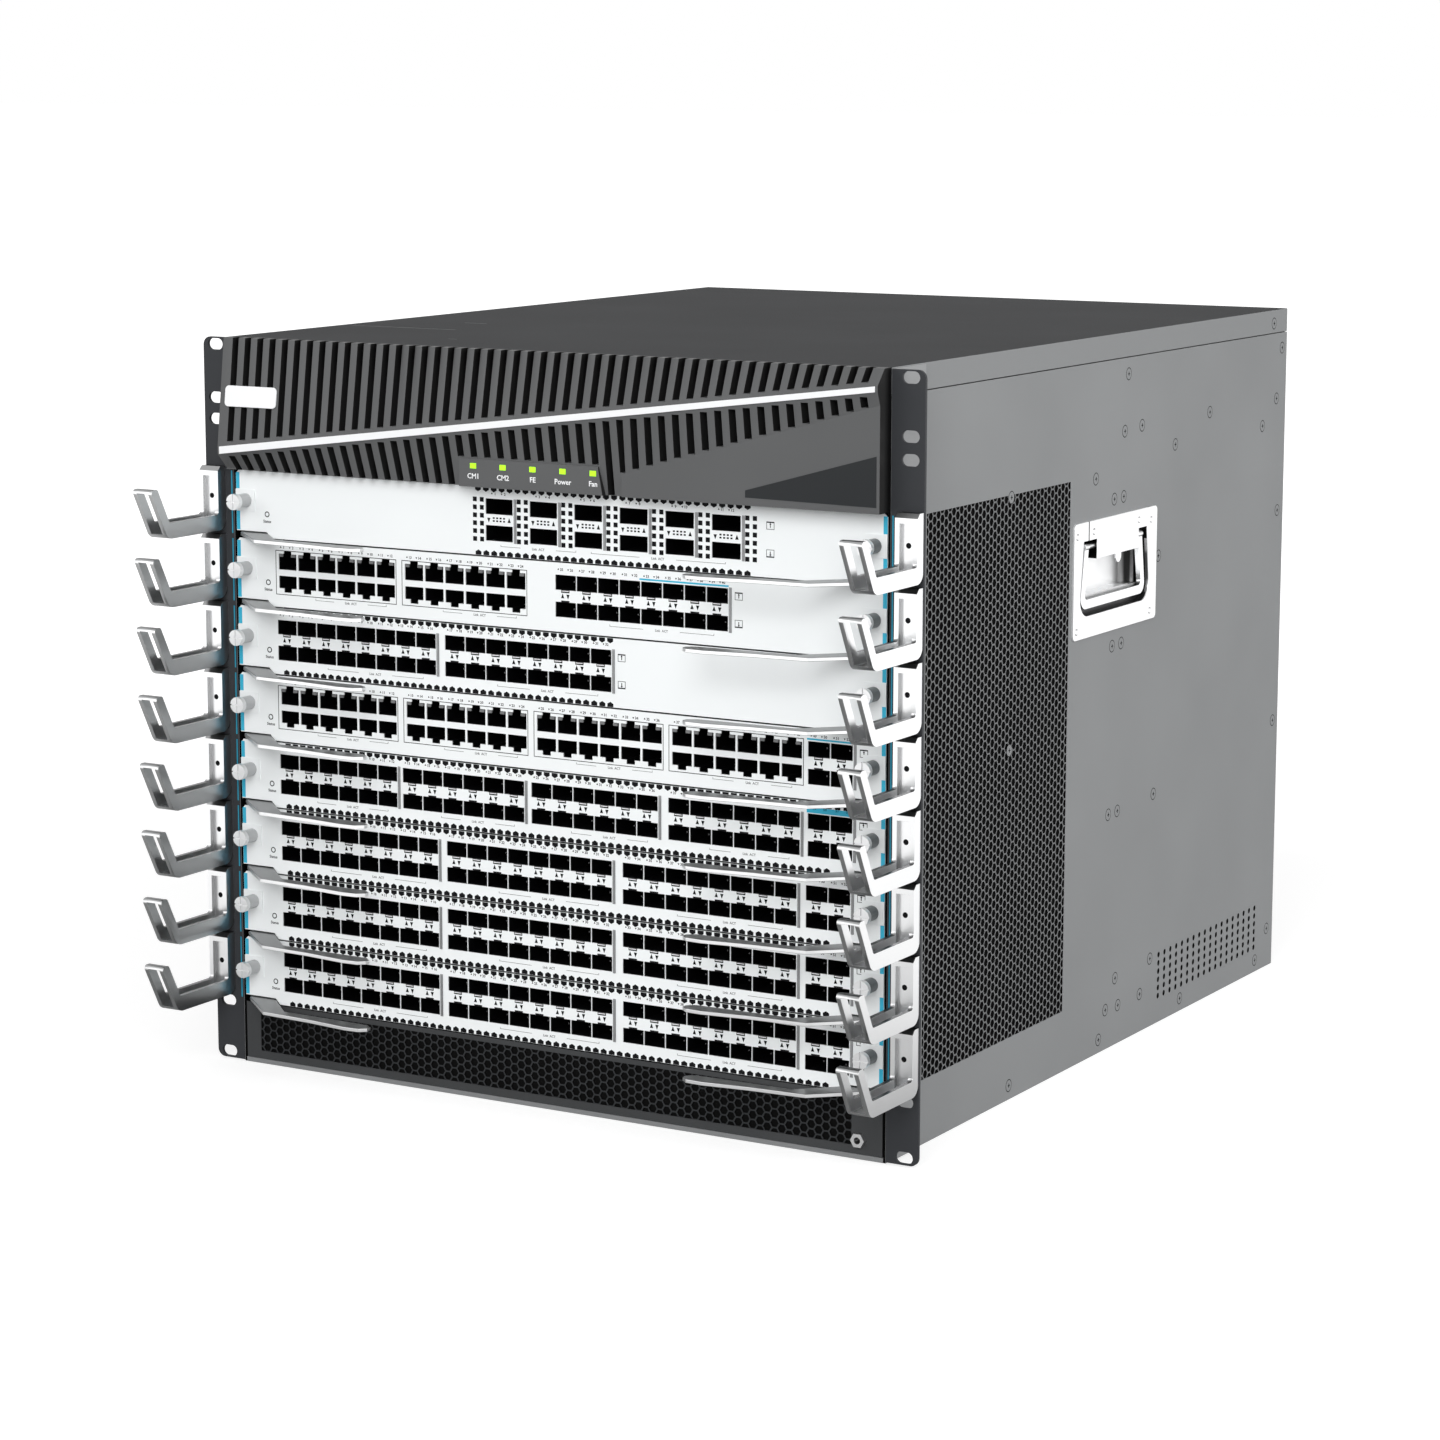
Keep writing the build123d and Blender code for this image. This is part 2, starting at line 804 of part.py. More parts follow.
def bezel_section(x, foot_y, foot_z):
    """Cross-section of the bezel: it leans out to the strip and falls back below it."""
    points = [(0, body_height), (bezel_top_y, body_height), (ridge_y, ridge_top(x)),
              (ridge_y, ridge_bottom(x)), (foot_y, foot_z), (foot_y, bay_top), (0, bay_top)]
    return make_face(Polyline([(x, y, z) for y, z in points], close=True))


def slat_slots():
    """Slots between the slats, above and below the strip, open at the bezel's edges."""
    slots = []
    front, back = ridge_y - 5, -bezel_back_wall
    for index in range(slat_count):
        x = (index - (slat_count - 1) / 2) * slat_pitch
        a, b = x - slat_gap / 2, x + slat_gap / 2
        slots.append(block(a, b, front, back, ridge_top(b) + strip_margin, body_height + 1))
        if x > panel_left:
            foot = panel_top(b) + 0.3
        elif bar_left < x < bar_right:
            foot = bar_top + 1
        else:
            foot = bay_top - 1
        slots.append(block(a, b, front, back, foot, ridge_bottom(a) - strip_margin * 0.8))
    return slots


def front_bezel():
    """Slatted front of the power bay with its lamp bar and plain panel."""
    foot = bay_top + bezel_foot
    left = loft([bezel_section(-bezel_half, left_foot_y, foot),
                 bezel_section(panel_left, mid_foot_y, foot)], ruled=True)
    right = loft([bezel_section(panel_left, panel_y, panel_left_z),
                  bezel_section(bezel_half, panel_y, panel_right_z)], ruled=True)
    bar = front_prism([(bar_left, bay_top), (bar_left, bar_top), (bar_right - bar_slope, bar_top),
                       (bar_right, bay_top)], panel_y, -1)
    return left + right + bar - slat_slots()


def light_strip():
    """White strip along the bezel's ridge."""
    ends = []
    y0, y1 = ridge_y - strip_proud, ridge_y
    for x in (-strip_half, strip_half):
        low, high = ridge_bottom(x) + strip_inset, ridge_top(x) - strip_inset
        points = [(y0, low), (y0, high), (y1, high), (y1, low)]
        ends.append(make_face(Polyline([(x, y, z) for y, z in points], close=True)))
    return loft(ends, ruled=True)


def badge_plate():
    """Blank plate on the upper slats."""
    left = badge_inset - bezel_half
    z = body_height - badge_drop
    lean = (bezel_top_y - ridge_y) / (body_height - ridge_top(left + badge_width))
    y = bezel_top_y - lean * badge_drop - badge_seat
    plate = extrude(RectangleRounded(badge_width, badge_height, badge_corner),
                    amount=badge_thickness)
    tilt = math.degrees(math.atan(lean))
    return Pos(left + badge_width / 2, y, z) * Rot(90 - tilt, 0, 0) * plate


def status_lamps():
    """Five small lamps on the bar."""
    lamps = []
    z = bay_top + lamp_rise
    for index in range(lamp_count):
        x = bar_left + lamp_inset + index * lamp_pitch
        lamps.append(block(x - lamp_width / 2, x + lamp_width / 2, panel_y - lamp_proud, panel_y,
                           z - lamp_height / 2, z + lamp_height / 2))
    return Compound(lamps)


# Foot of the front


def intake_panel():
    """Plate with the sunk hole field and the ground jack's hole."""
    wide = half_inner - intake_side_gap
    plate = block(-wide, wide, 0, intake_thickness, intake_bottom, intake_top)
    plate -= block(intake_field_left - half_body, half_body - intake_field_right, -1, field_depth,
                   intake_bottom + intake_field_low, intake_top - intake_field_high)
    narrow = sheet_edge - sheet - 2 * seat_gap
    seat = sheet + fold_gap
    foot = block(-narrow, narrow, intake_thickness, intake_foot_depth, seat, seat + sheet)
    riser = block(-narrow, narrow, intake_thickness, 2 * intake_thickness, seat,
                  intake_bottom + sheet)
    hole = rod_y(jack_x, -1, intake_thickness + 1, jack_z, ground_barrel + ground_bore_gap)
    return joined([plate, foot, riser]) - hole


def ground_jack():
    """Grounding socket with a hexagon nut on the front."""
    nut = extrude(RegularPolygon(jack_nut_radius, 6), amount=jack_nut_depth)
    nut = Pos(jack_x, 0, jack_z) * Rot(90, 0, 0) * nut
    barrel = rod_y(jack_x, -jack_nut_depth, ground_length, jack_z, ground_barrel)
    flange = rod_y(jack_x, intake_thickness, 2 * intake_thickness, jack_z,
                   ground_barrel + jack_flange_rim)
    bore = rod_y(jack_x, -jack_nut_depth - 1, ground_length - sheet, jack_z, ground_bore)
    return nut + barrel + flange - bore


# Lifting handles


def recess_corners(gap, leg_top):
    """Corners of the bail's recess, or of the bail inside it, narrower at the top."""
    low = recess_bottom + gap
    front, back = recess_front + gap, recess_back - gap
    bend = recess_bend - gap
    return [(front + recess_taper, leg_top, 0), (front, low, bend), (back, low, bend),
            (back - recess_taper, leg_top, 0)]


def handle_plate():
    """Right handle plate with the bail's recess, the finger pocket and the pin bores."""
    plate = block(half_body, handle_face, handle_front, handle_back, handle_bottom, handle_top)
    plate = fillet(plate.edges().filter_by(Axis.X), handle_corner)
    wall = handle_wall
    pocket_floor = handle_face - pocket_depth
    tray = block(recess_floor - wall, half_body, recess_front - wall, recess_back + wall,
                 recess_bottom - wall, recess_ceiling + wall)
    box = block(pocket_floor - wall, half_body, pocket_y0 - wall, pocket_y1 + wall,
                pocket_z0 - wall, pocket_z1 + wall)
    recess = rounded_side_prism(recess_corners(0, recess_ceiling), recess_floor, handle_face + 1)
    tongue = block(recess_floor - 1, handle_face + 2, tongue_front, tongue_back, pocket_z1,
                   recess_ceiling + 1)
    hollow = block(pocket_floor, handle_face + 1, pocket_y0, pocket_y1, pocket_z0, pocket_z1)
    hollow = fillet(hollow.edges().filter_by(Axis.Z).group_by(Axis.X)[0], pocket_bend)
    slit_y = handle_front + slit_place
    slit = block(half_body - 1, handle_face + 1, slit_y, slit_y + slit_width, recess_ceiling - 1,
                 handle_top + 1)
    bores = []
    for y0, y1 in ((tongue_front - 1, tongue_front + bail_pin_length),
                   (tongue_back - bail_pin_length, tongue_back + 1)):
        bores.append(rod_y(bail_axis_x, y0, y1, bail_axis_z, bail_pin_radius + bail_pin_gap))
    return plate + tray + box - (recess - tongue) - hollow - slit - bores


def handle_bail():
    """Right bail: a flat U whose bent ends turn in the plate's bores."""
    outer = recess_corners(bail_gap, bail_axis_z)
    x0 = bail_axis_x - bail_thickness / 2
    x1 = x0 + bail_thickness
    (front_top, _, _), (front, low, bend), (back, _, _), (back_top, _, _) = outer
    inner = [
        (front_top + bail_leg, bail_axis_z + 1, 0), (front + bail_leg, low + bail_grip_height, 3),
        (back - bail_leg, low + bail_grip_height, 3), (back_top - bail_leg, bail_axis_z + 1, 0),
    ]
    loop = rounded_side_prism(outer, x0, x1) - rounded_side_prism(inner, x0 - 1, x1 + 1)
    eyes = [rod_y(bail_axis_x, front_top, front_top + bail_leg, bail_axis_z, bail_eye_radius),
            rod_y(bail_axis_x, back_top - bail_leg, back_top, bail_axis_z, bail_eye_radius)]
    pins = [
        rod_y(bail_axis_x, front_top + 1, tongue_front + bail_pin_length - bail_pin_end,
              bail_axis_z, bail_pin_radius),
        rod_y(bail_axis_x, tongue_back - bail_pin_length + bail_pin_end, back_top - 1,
              bail_axis_z, bail_pin_radius),
    ]
    return joined([loop] + eyes + pins)


# Rear modules


def power_supply(index):
    """Power module with its rear face, inlet recess, vents and grip."""
    x = (index - (supply_count - 1) / 2) * supply_pitch
    z0 = supply_bottom
    z1 = z0 + supply_height
    half = supply_width / 2
    back = body_depth + face_thickness
    case = block(x - half, x + half, body_depth - supply_depth, back, z0, z1)
    face = block(x - half - face_overlap, x + half + face_overlap, body_depth + fold_gap, back,
                 z0, z1 + 2 * face_overlap)
    inlet = x - half + inlet_inset
    cuts = [block(inlet, inlet + inlet_width, back - inlet_depth, back + 1, z0 + inlet_low,
                  z0 + inlet_low + inlet_height)]
    for step in range(supply_vent_count):
        left = inlet + inlet_width + supply_vent_pitch * (step + 1)
        cuts.append(block(left, left + supply_vent_width, back - supply_vent_depth, back + 1,
                          z0 + supply_vent_margin, z1 - supply_vent_margin))
    grip_x = x + half - grip_inset
    grip = block(grip_x - grip_half, grip_x + grip_half, back, back + supply_grip,
                 z0 + grip_low, z1 - grip_high)
    grip -= block(grip_x - grip_half - 1, grip_x + grip_half + 1, back - 1,
                  back + supply_grip - grip_plate, z0 + grip_low + grip_bar,
                  z1 - grip_high - grip_bar)
    return joined([case, face]) - cuts + grip


def guard_ring(x, y0, y1, z, outer):
    """A flat guard ring with straight sides."""
    band = RegularPolygon(outer, guard_sides) - RegularPolygon(outer - guard_bar, guard_sides)
    return Pos(x, y1, z) * Rot(90, 0, 0) * extrude(band, amount=y1 - y0)


def fan_tray():
    """Rear tray with two fan openings, their guards and motor plates."""
    half = fan_width / 2
    z0, z1 = fan_bottom, fan_bottom + fan_height
    zc = (z0 + z1) / 2
    front = body_depth - fan_depth
    back = body_depth + face_thickness
    guard = back - guard_bar
    wall = fan_wall
    tray = block(-half, half, front, back, z0, z1)
    tray -= block(wall - half, half - wall, front - 1, body_depth - 1, z0 + wall, z1 - wall)
    lip = block(-half - fan_lip, half + fan_lip, body_depth + fold_gap, back, z0, z1 + wall)
    tray = tray + lip
    parts = []
    for x in (-fan_centre, fan_centre):
        tray -= rod_y(x, front, back + 1, zc, fan_radius)
        for index in range(1, guard_rings):
            outer = fan_radius * index / guard_rings + guard_bar
            parts.append(guard_ring(x, guard, back, zc, outer))
        reach = fan_radius + 1
        parts.append(block(x - reach, x + reach, guard, back, zc - guard_bar / 2,
                           zc + guard_bar / 2))
        parts.append(block(x - guard_bar / 2, x + guard_bar / 2, guard, back, zc - reach,
                           zc + reach))
        motor = back - motor_depth
        parts.append(rod_y(x, motor, back, zc, rotor_hub * 0.6))
        parts.append(rod_y(x, motor - rotor_depth * 0.6, motor, zc, rotor_pin_radius))
    return joined([tray] + parts)


def fan_rotor(side):
    """Bladed rotor that turns on the motor's pin."""
    x = side * fan_centre
    zc = fan_bottom + fan_height / 2
    back = body_depth + face_thickness - motor_depth - motor_gap
    front = back - rotor_depth
    hub = rod_y(x, front, back, zc, rotor_hub)
    half = blade_thickness / 2
    blade = block(rotor_hub - 2, rotor_radius, -half, half, -rotor_depth * 0.4, rotor_depth * 0.4)
    blades = []
    for index in range(blade_count):
        turned = Rot(0, 0, index * 360 / blade_count) * Rot(blade_twist, 0, 0) * blade
        blades.append(Pos(x, (front + back) / 2, zc) * Rot(90, 0, 0) * turned)
    bore = rod_y(x, back - rotor_depth * 0.62, back + 1, zc, rotor_pin_radius + rotor_pin_gap)
    return joined([hub] + blades) - bore


def build_nodes():
    """Every node of the part by name."""
    nodes = {
        "chassis_base": chassis_base(),
        "top_cover": top_cover(),
        "side_panel_right": side_panel(),
        "rack_ear_right": rack_ear(),
        "power_deck": power_deck(),
        "midplane": midplane(),
        "card_guide_right": card_guide(),
        "front_bezel": front_bezel(),
        "light_strip": light_strip(),
        "badge_plate": badge_plate(),
        "status_lamps": status_lamps(),
        "intake_panel": intake_panel(),
        "ground_jack": ground_jack(),
        "handle_plate_right": handle_plate(),
        "handle_bail_right": handle_bail(),
        "cable_hooks": cable_hooks(),
        "fan_tray": fan_tray(),
        "fan_rotor_left": fan_rotor(-1),
        "fan_rotor_right": fan_rotor(1),
    }
    for name in ("side_panel", "rack_ear", "card_guide", "handle_plate", "handle_bail"):
        nodes[name + "_left"] = mirrored(nodes[name + "_right"])
    for number in range(1, card_count + 1):
        nodes[f"card_{number}"] = line_card(number)
        nodes[f"card_{number}_thumbscrews"] = thumbscrews(number)
        lever = ejector_lever(number)
        nodes[f"card_{number}_lever_right"] = lever
        nodes[f"card_{number}_lever_left"] = mirrored(lever)
    for index in range(supply_count):
        nodes[f"power_supply_{index + 1}"] = power_supply(index)
    return nodes


os.makedirs("parts", exist_ok=True)
for node_name, node_shape in build_nodes().items():
    export_step(node_shape, f"parts/{node_name}.step")
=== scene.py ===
import bpy
import math
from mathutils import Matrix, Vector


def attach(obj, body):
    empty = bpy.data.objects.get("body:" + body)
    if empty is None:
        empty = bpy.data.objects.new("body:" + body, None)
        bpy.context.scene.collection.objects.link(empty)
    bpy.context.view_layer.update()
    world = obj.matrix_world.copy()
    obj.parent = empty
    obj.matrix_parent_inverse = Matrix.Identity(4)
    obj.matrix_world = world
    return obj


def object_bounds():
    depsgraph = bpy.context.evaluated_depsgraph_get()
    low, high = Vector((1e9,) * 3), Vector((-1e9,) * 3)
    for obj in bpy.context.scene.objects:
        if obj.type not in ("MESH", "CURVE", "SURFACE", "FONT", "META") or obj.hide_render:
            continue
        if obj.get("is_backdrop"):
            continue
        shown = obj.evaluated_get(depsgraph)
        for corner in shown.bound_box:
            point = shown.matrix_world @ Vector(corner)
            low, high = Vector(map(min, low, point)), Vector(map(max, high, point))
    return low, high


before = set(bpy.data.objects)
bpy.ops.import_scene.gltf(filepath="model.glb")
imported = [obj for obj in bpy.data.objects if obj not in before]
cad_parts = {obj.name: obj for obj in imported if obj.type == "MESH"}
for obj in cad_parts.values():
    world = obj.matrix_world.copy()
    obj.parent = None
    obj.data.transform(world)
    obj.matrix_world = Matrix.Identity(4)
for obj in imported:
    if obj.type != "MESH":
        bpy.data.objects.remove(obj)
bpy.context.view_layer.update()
mm = 0.001
print("frame loaded", len(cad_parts))

# looks, one dictionary for each finish: a stage changes the colour past a place along one axis, a patch
# changes it inside a box, a fade does both, shaded walls are the faces turned to or from an axis, painted
# darker as shade, and inward is the painted shade of the faces turned to the middle of the object

sideGrey = (0.262, 0.268, 0.272)
cardWhite = (0.87, 0.895, 0.9)
metalWhite = (0.88, 0.885, 0.89)
# the side sheet's faces inside 220.75 mm, its front edge and inner face, are painted near black: painted shade
# inside the chassis
sidePaint = {"name": "sidePaint", "tone": sideGrey, "spread": 0.04, "rough": 0.45, "metal": 0.0, "shine": 0.01,
             "grain": 900, "bump": 0.05, "stages": [("X", 0.22085, 0.22075, (0.003, 0.003, 0.003))]}
# the cover's top is painted near black as painted shade on a sheet that is grey all over; the skirt past 220.65 mm
# keeps the side grey
coverShadePaint = {"name": "coverShadePaint", "tone": (0.036, 0.037, 0.039), "spread": 0.08, "rough": 0.45, "metal": 0.0,
              "shine": 0.004, "grain": 1100, "bump": 0.05, "stages": [("X", 0.22065, 0.22085, sideGrey)]}
# the walls of the side hexagon holes are painted near black: painted shade inside the holes
hexPaint = {"name": "hexPaint", "tone": (0.19, 0.194, 0.197), "spread": 0.05, "rough": 0.45, "metal": 0.0,
            "shine": 0.01, "grain": 900, "bump": 0.04, "shadedWalls": [({}, "X", 0.6, 0.3, (0.02, 0.02, 0.021))]}
# the walls of the intake hexagon holes are painted near black: painted shade inside the holes
grillePaint = {"name": "grillePaint", "tone": (0.036, 0.038, 0.04), "spread": 0.1, "rough": 0.45, "metal": 0.0,
               "shine": 0.05, "grain": 1100, "bump": 0.06, "shadedWalls": [({}, "Y", 0.6, 0.3, (0.006, 0.006, 0.006))]}
earPaint = {"name": "earPaint", "tone": (0.040, 0.042, 0.046), "spread": 0.1, "rough": 0.45, "metal": 0.0,
            "shine": 0.1, "grain": 1100, "bump": 0.06, "stages": [("Y", 0.0021, 0.0024, (0.30, 0.305, 0.31))]}
# everything behind the intake panel's front face is painted near black: painted shade inside the intake
intakePaint = {"name": "intakePaint", "tone": (0.058, 0.06, 0.062), "spread": 0.12, "rough": 0.42, "metal": 0.0,
               "shine": 0.05, "grain": 1100, "bump": 0.05,
               "stages": [("Y", 0.0003, 0.0005, (0.003, 0.003, 0.003))]}
# faces turned along X, the slot walls and the bezel ends, and faces towards the back of the bezel are painted near
# black: painted shade in the slots
bezelPlastic = {"name": "bezelPlastic", "tone": (0.108, 0.11, 0.112), "spread": 0.06, "rough": 0.42, "metal": 0.0,
                "shine": 0.1, "grain": 1500, "bump": 0.05, "shadedWalls": [({}, "X", 0.5, 0.8, (0.02, 0.02, 0.02))],
                "stages": [("Y", -0.0075, -0.0022, (0.003, 0.003, 0.003))]}
insetPaint = {"name": "insetPaint", "tone": (0.033, 0.035, 0.037), "spread": 0.06, "rough": 0.3, "metal": 0.0,
              "shine": 0.03, "grain": 1500, "bump": 0.03}
# from 0.9 mm to 47 mm behind the card front everything is painted near black, painted shade inside the sockets;
# further back the card is bare grey steel
cardPaint = {"name": "cardPaint", "tone": cardWhite, "spread": 0.015, "rough": 0.38, "metal": 0.0,
             "shine": 0.15, "grain": 1300, "bump": 0.03,
             "stages": [("Y", 0.0002, 0.0009, (0.003, 0.003, 0.0035)), ("Y", 0.047, 0.048, (0.45, 0.46, 0.47))]}
seatPaint = {"name": "seatPaint", "tone": (0.86, 0.87, 0.88), "spread": 0.02, "rough": 0.3, "metal": 0.0,
             "grain": 1200, "bump": 0.02}
platePlastic = {"name": "platePlastic", "tone": (0.86, 0.87, 0.88), "spread": 0.02, "rough": 0.3, "metal": 0.0,
                "grain": 1200, "bump": 0.02}
# painted shade and reflection on the hook metal, also on the bails, rivets and tab: grey on faces turned to the
# middle, on slanted faces and on the groove walls of the hook plates, near black on faces turned up or down
hookShadeGrey = (0.36, 0.364, 0.367)
satinMetal = {"name": "satinMetal", "tone": metalWhite, "spread": 0.015, "rough": 0.28, "metal": 1.0,
              "vary": 0.01, "grain": 500, "bump": 0.0, "soft": 0.0002, "inward": (0.47, 0.475, 0.48),
              "shadedWalls": [({}, "Z", 0.25, 0.4, hookShadeGrey), ({}, "Z", 0.85, 0.95, (0.07, 0.072, 0.074)),
                        ({"X": (0.2296, 0.2386), "Y": (-0.0069, 0.001)}, "X", 0.5, 0.8, hookShadeGrey)]}
# faces of the levers turned up or down are painted grey: painted shade and reflection
leverMetal = {"name": "leverMetal", "tone": metalWhite, "spread": 0.015, "rough": 0.3, "metal": 0.9,
              "vary": 0.01, "grain": 500, "bump": 0.0, "shadedWalls": [({}, "Z", 0.3, 0.6, (0.22, 0.222, 0.225))]}
# painted shade on the handle plate: dark bands on the recess floor below and right of the bail with a mid-grey
# wall at the right, black boxes for the arch hole at the top left and the gap at the top right, a grey left recess
# wall, a grey line for the slit, and in the pocket a floor fading to black and a rear wall graded from grey back
# to white
pocketTall = (0.2865, 0.3095)
pocketRear = {"Y": (0.3215, 0.3295), "Z": pocketTall}
handleMetal = {"name": "handleMetal", "tone": metalWhite, "spread": 0.015, "rough": 0.3, "metal": 0.7,
               "grain": 500, "bump": 0.0, "soft": 0.0003,
               "patches": [({"X": (0.2, 0.2214), "Y": (0.2398, 0.3425), "Z": (0.27, 0.2806)}, (0.03, 0.03, 0.031)),
                           ({"X": (0.2, 0.22), "Y": (0.3366, 0.343)}, (0.022, 0.022, 0.023)),
                           ({"X": (0.2203, 0.2216), "Y": (0.3380, 0.343)}, (0.20, 0.20, 0.203)),
                           ({"X": (0.2, 0.2216), "Y": (0.3345, 0.345), "Z": (0.3135, 0.33)}, (0.01, 0.01, 0.01)),
                           ({"X": (0.2, 0.2217), "Y": (0.2506, 0.2640), "Z": (0.3088, 0.33)},
                            (0.003, 0.003, 0.003)),
                           ({"X": (0.2, 0.2174), "Y": (0.2380, 0.2430), "Z": (0.27, 0.33)}, (0.35, 0.35, 0.355)),
                           ({"X": (0.2, 0.2226), "Y": (0.2513, 0.2526), "Z": (0.3205, 0.34)},
                            (0.25, 0.25, 0.255))],
               "fades": [({"X": (0.2, 0.2193), "Z": pocketTall}, "Y", 0.3125, 0.326, (0.006, 0.006, 0.006)),
                         (pocketRear, "X", 0.2145, 0.2155, (0.11, 0.11, 0.112)),
                         (pocketRear, "X", 0.2172, 0.2177, (0.3, 0.3, 0.305)),
                         (pocketRear, "X", 0.2196, 0.2199, metalWhite)]}
# the thumbscrew shanks behind the head face are painted grey, and on the right side dark blue grey: painted
# reflection
screwMetal = {"name": "screwMetal", "tone": (0.80, 0.805, 0.81), "spread": 0.02, "rough": 0.32, "metal": 0.6,
              "grain": 600, "bump": 0.0, "soft": 0.0002, "stages": [("Y", -0.0104, -0.0102, (0.5, 0.505, 0.51))],
              "patches": [({"+X": (0.1, 0.3), "Y": (-0.0102, 0.02)}, (0.10, 0.115, 0.12))]}
zincSheet = {"name": "zincSheet", "tone": (0.42, 0.43, 0.44), "spread": 0.15, "rough": 0.4, "metal": 0.8,
             "grain": 60, "bump": 0.02}
gasketMetal = {"name": "gasketMetal", "tone": (0.30, 0.305, 0.31), "spread": 0.1, "rough": 0.35, "metal": 0.6,
               "grain": 800, "bump": 0.03}
cyanInk = {"name": "cyanInk", "tone": (0.028, 0.42, 0.62), "spread": 0.04, "rough": 0.45, "metal": 0.0,
           "grain": 1200, "bump": 0.02}
# the thin cyan lines along the ears' inner bends: painted reflection of the cards' cyan
cyanReflection = {"name": "cyanReflection", "tone": (0.008, 0.26, 0.4), "spread": 0.05, "rough": 0.45, "metal": 0.0,
             "grain": 1200, "bump": 0.02}
blackInk = {"name": "blackInk", "tone": (0.006, 0.006, 0.007), "spread": 0.1, "rough": 0.6, "metal": 0.0,
            "shine": 0.08, "grain": 1200, "bump": 0.02}
greyInk = {"name": "greyInk", "tone": (0.16, 0.162, 0.165), "spread": 0.1, "rough": 0.6, "metal": 0.0,
           "grain": 1200, "bump": 0.02}
boardGreen = {"name": "boardGreen", "tone": (0.02, 0.10, 0.05), "spread": 0.2, "rough": 0.4, "metal": 0.0,
              "grain": 300, "bump": 0.05}
fanBlack = {"name": "fanBlack", "tone": (0.012, 0.012, 0.013), "spread": 0.15, "rough": 0.45, "metal": 0.0,
            "grain": 700, "bump": 0.05}
moduleGrey = {"name": "moduleGrey", "tone": (0.25, 0.255, 0.26), "spread": 0.08, "rough": 0.42, "metal": 0.2,
              "grain": 900, "bump": 0.05}
lampGreen = {"name": "lampGreen", "tone": (0.42, 0.9, 0.03), "spread": 0.05, "rough": 0.5, "metal": 0.0,
             "shine": 0.1, "grain": 900, "bump": 0.01, "glow": 0.5}

# what all finishes share: the cloudy tone, the fine grain, and when a face counts as turned inward

cloudLook = {"scale": 9, "from": 0.3, "to": 0.7}
grainLook = {"detail": 3, "vary": 0.05, "height": 0.0002, "shine": 0.4}
inwardTurn = (-0.1, -0.16)


def addMath(tree, operation, *values):
    step = tree.nodes.new("ShaderNodeMath")
    step.operation = operation
    for number, value in enumerate(values):
        tree.links.new(value, step.inputs[number])
    return step.outputs[0]


def reachAlong(tree, place, axis, kind="Object"):
    # X and normals count the same on both sides of the middle, +X only on the right
    split = tree.nodes.new("ShaderNodeSeparateXYZ")
    tree.links.new(place.outputs[kind], split.inputs["Vector"])
    reach = split.outputs[axis[-1]]
    if axis != "X" and kind == "Object":
        return reach
    return addMath(tree, "ABSOLUTE", reach)


def inwardShare(tree, place):
    # one on the faces turned to the middle of the object
    reaches = []
    for kind in ("Object", "Normal"):
        split = tree.nodes.new("ShaderNodeSeparateXYZ")
        tree.links.new(place.outputs[kind], split.inputs["Vector"])
        reaches.append(split.outputs["X"])
    return rise(tree, addMath(tree, "MULTIPLY", *reaches), *inwardTurn)


def rise(tree, reach, start, end):
    step = tree.nodes.new("ShaderNodeMapRange")
    step.inputs["From Min"].default_value = start
    step.inputs["From Max"].default_value = end
    tree.links.new(reach, step.inputs["Value"])
    return step.outputs["Result"]


def both(tree, first, second):
    return second if first is None else addMath(tree, "MULTIPLY", first, second)


def insideBox(tree, place, box, soft):
    share = None
    for axis, (low, high) in box.items():
        reach = reachAlong(tree, place, axis)
        share = both(tree, share, rise(tree, reach, low - soft, low))
        share = both(tree, share, rise(tree, reach, high + soft, high))
    return share


def blendTone(tree, share, colour, tone):
    mix = tree.nodes.new("ShaderNodeMix")
    mix.data_type = "RGBA"
    tree.links.new(share, mix.inputs[0])
    tree.links.new(colour, mix.inputs[6])
    mix.inputs[7].default_value = (*tone, 1)
    return mix.outputs[2]


def cloudTone(tree, place, look):
    cloud = tree.nodes.new("ShaderNodeTexNoise")
    cloud.inputs["Scale"].default_value = cloudLook["scale"]
    tree.links.new(place.outputs["Object"], cloud.inputs["Vector"])
    ramp = tree.nodes.new("ShaderNodeValToRGB")
    low = [max(0, c * (1 - look["spread"])) for c in look["tone"]]
    high = [min(1, c * (1 + look["spread"])) for c in look["tone"]]
    ramp.color_ramp.elements[0].position = cloudLook["from"]
    ramp.color_ramp.elements[1].position = cloudLook["to"]
    ramp.color_ramp.elements[0].color = (*low, 1)
    ramp.color_ramp.elements[1].color = (*high, 1)
    tree.links.new(cloud.outputs["Fac"], ramp.inputs["Fac"])
    return ramp.outputs["Color"]


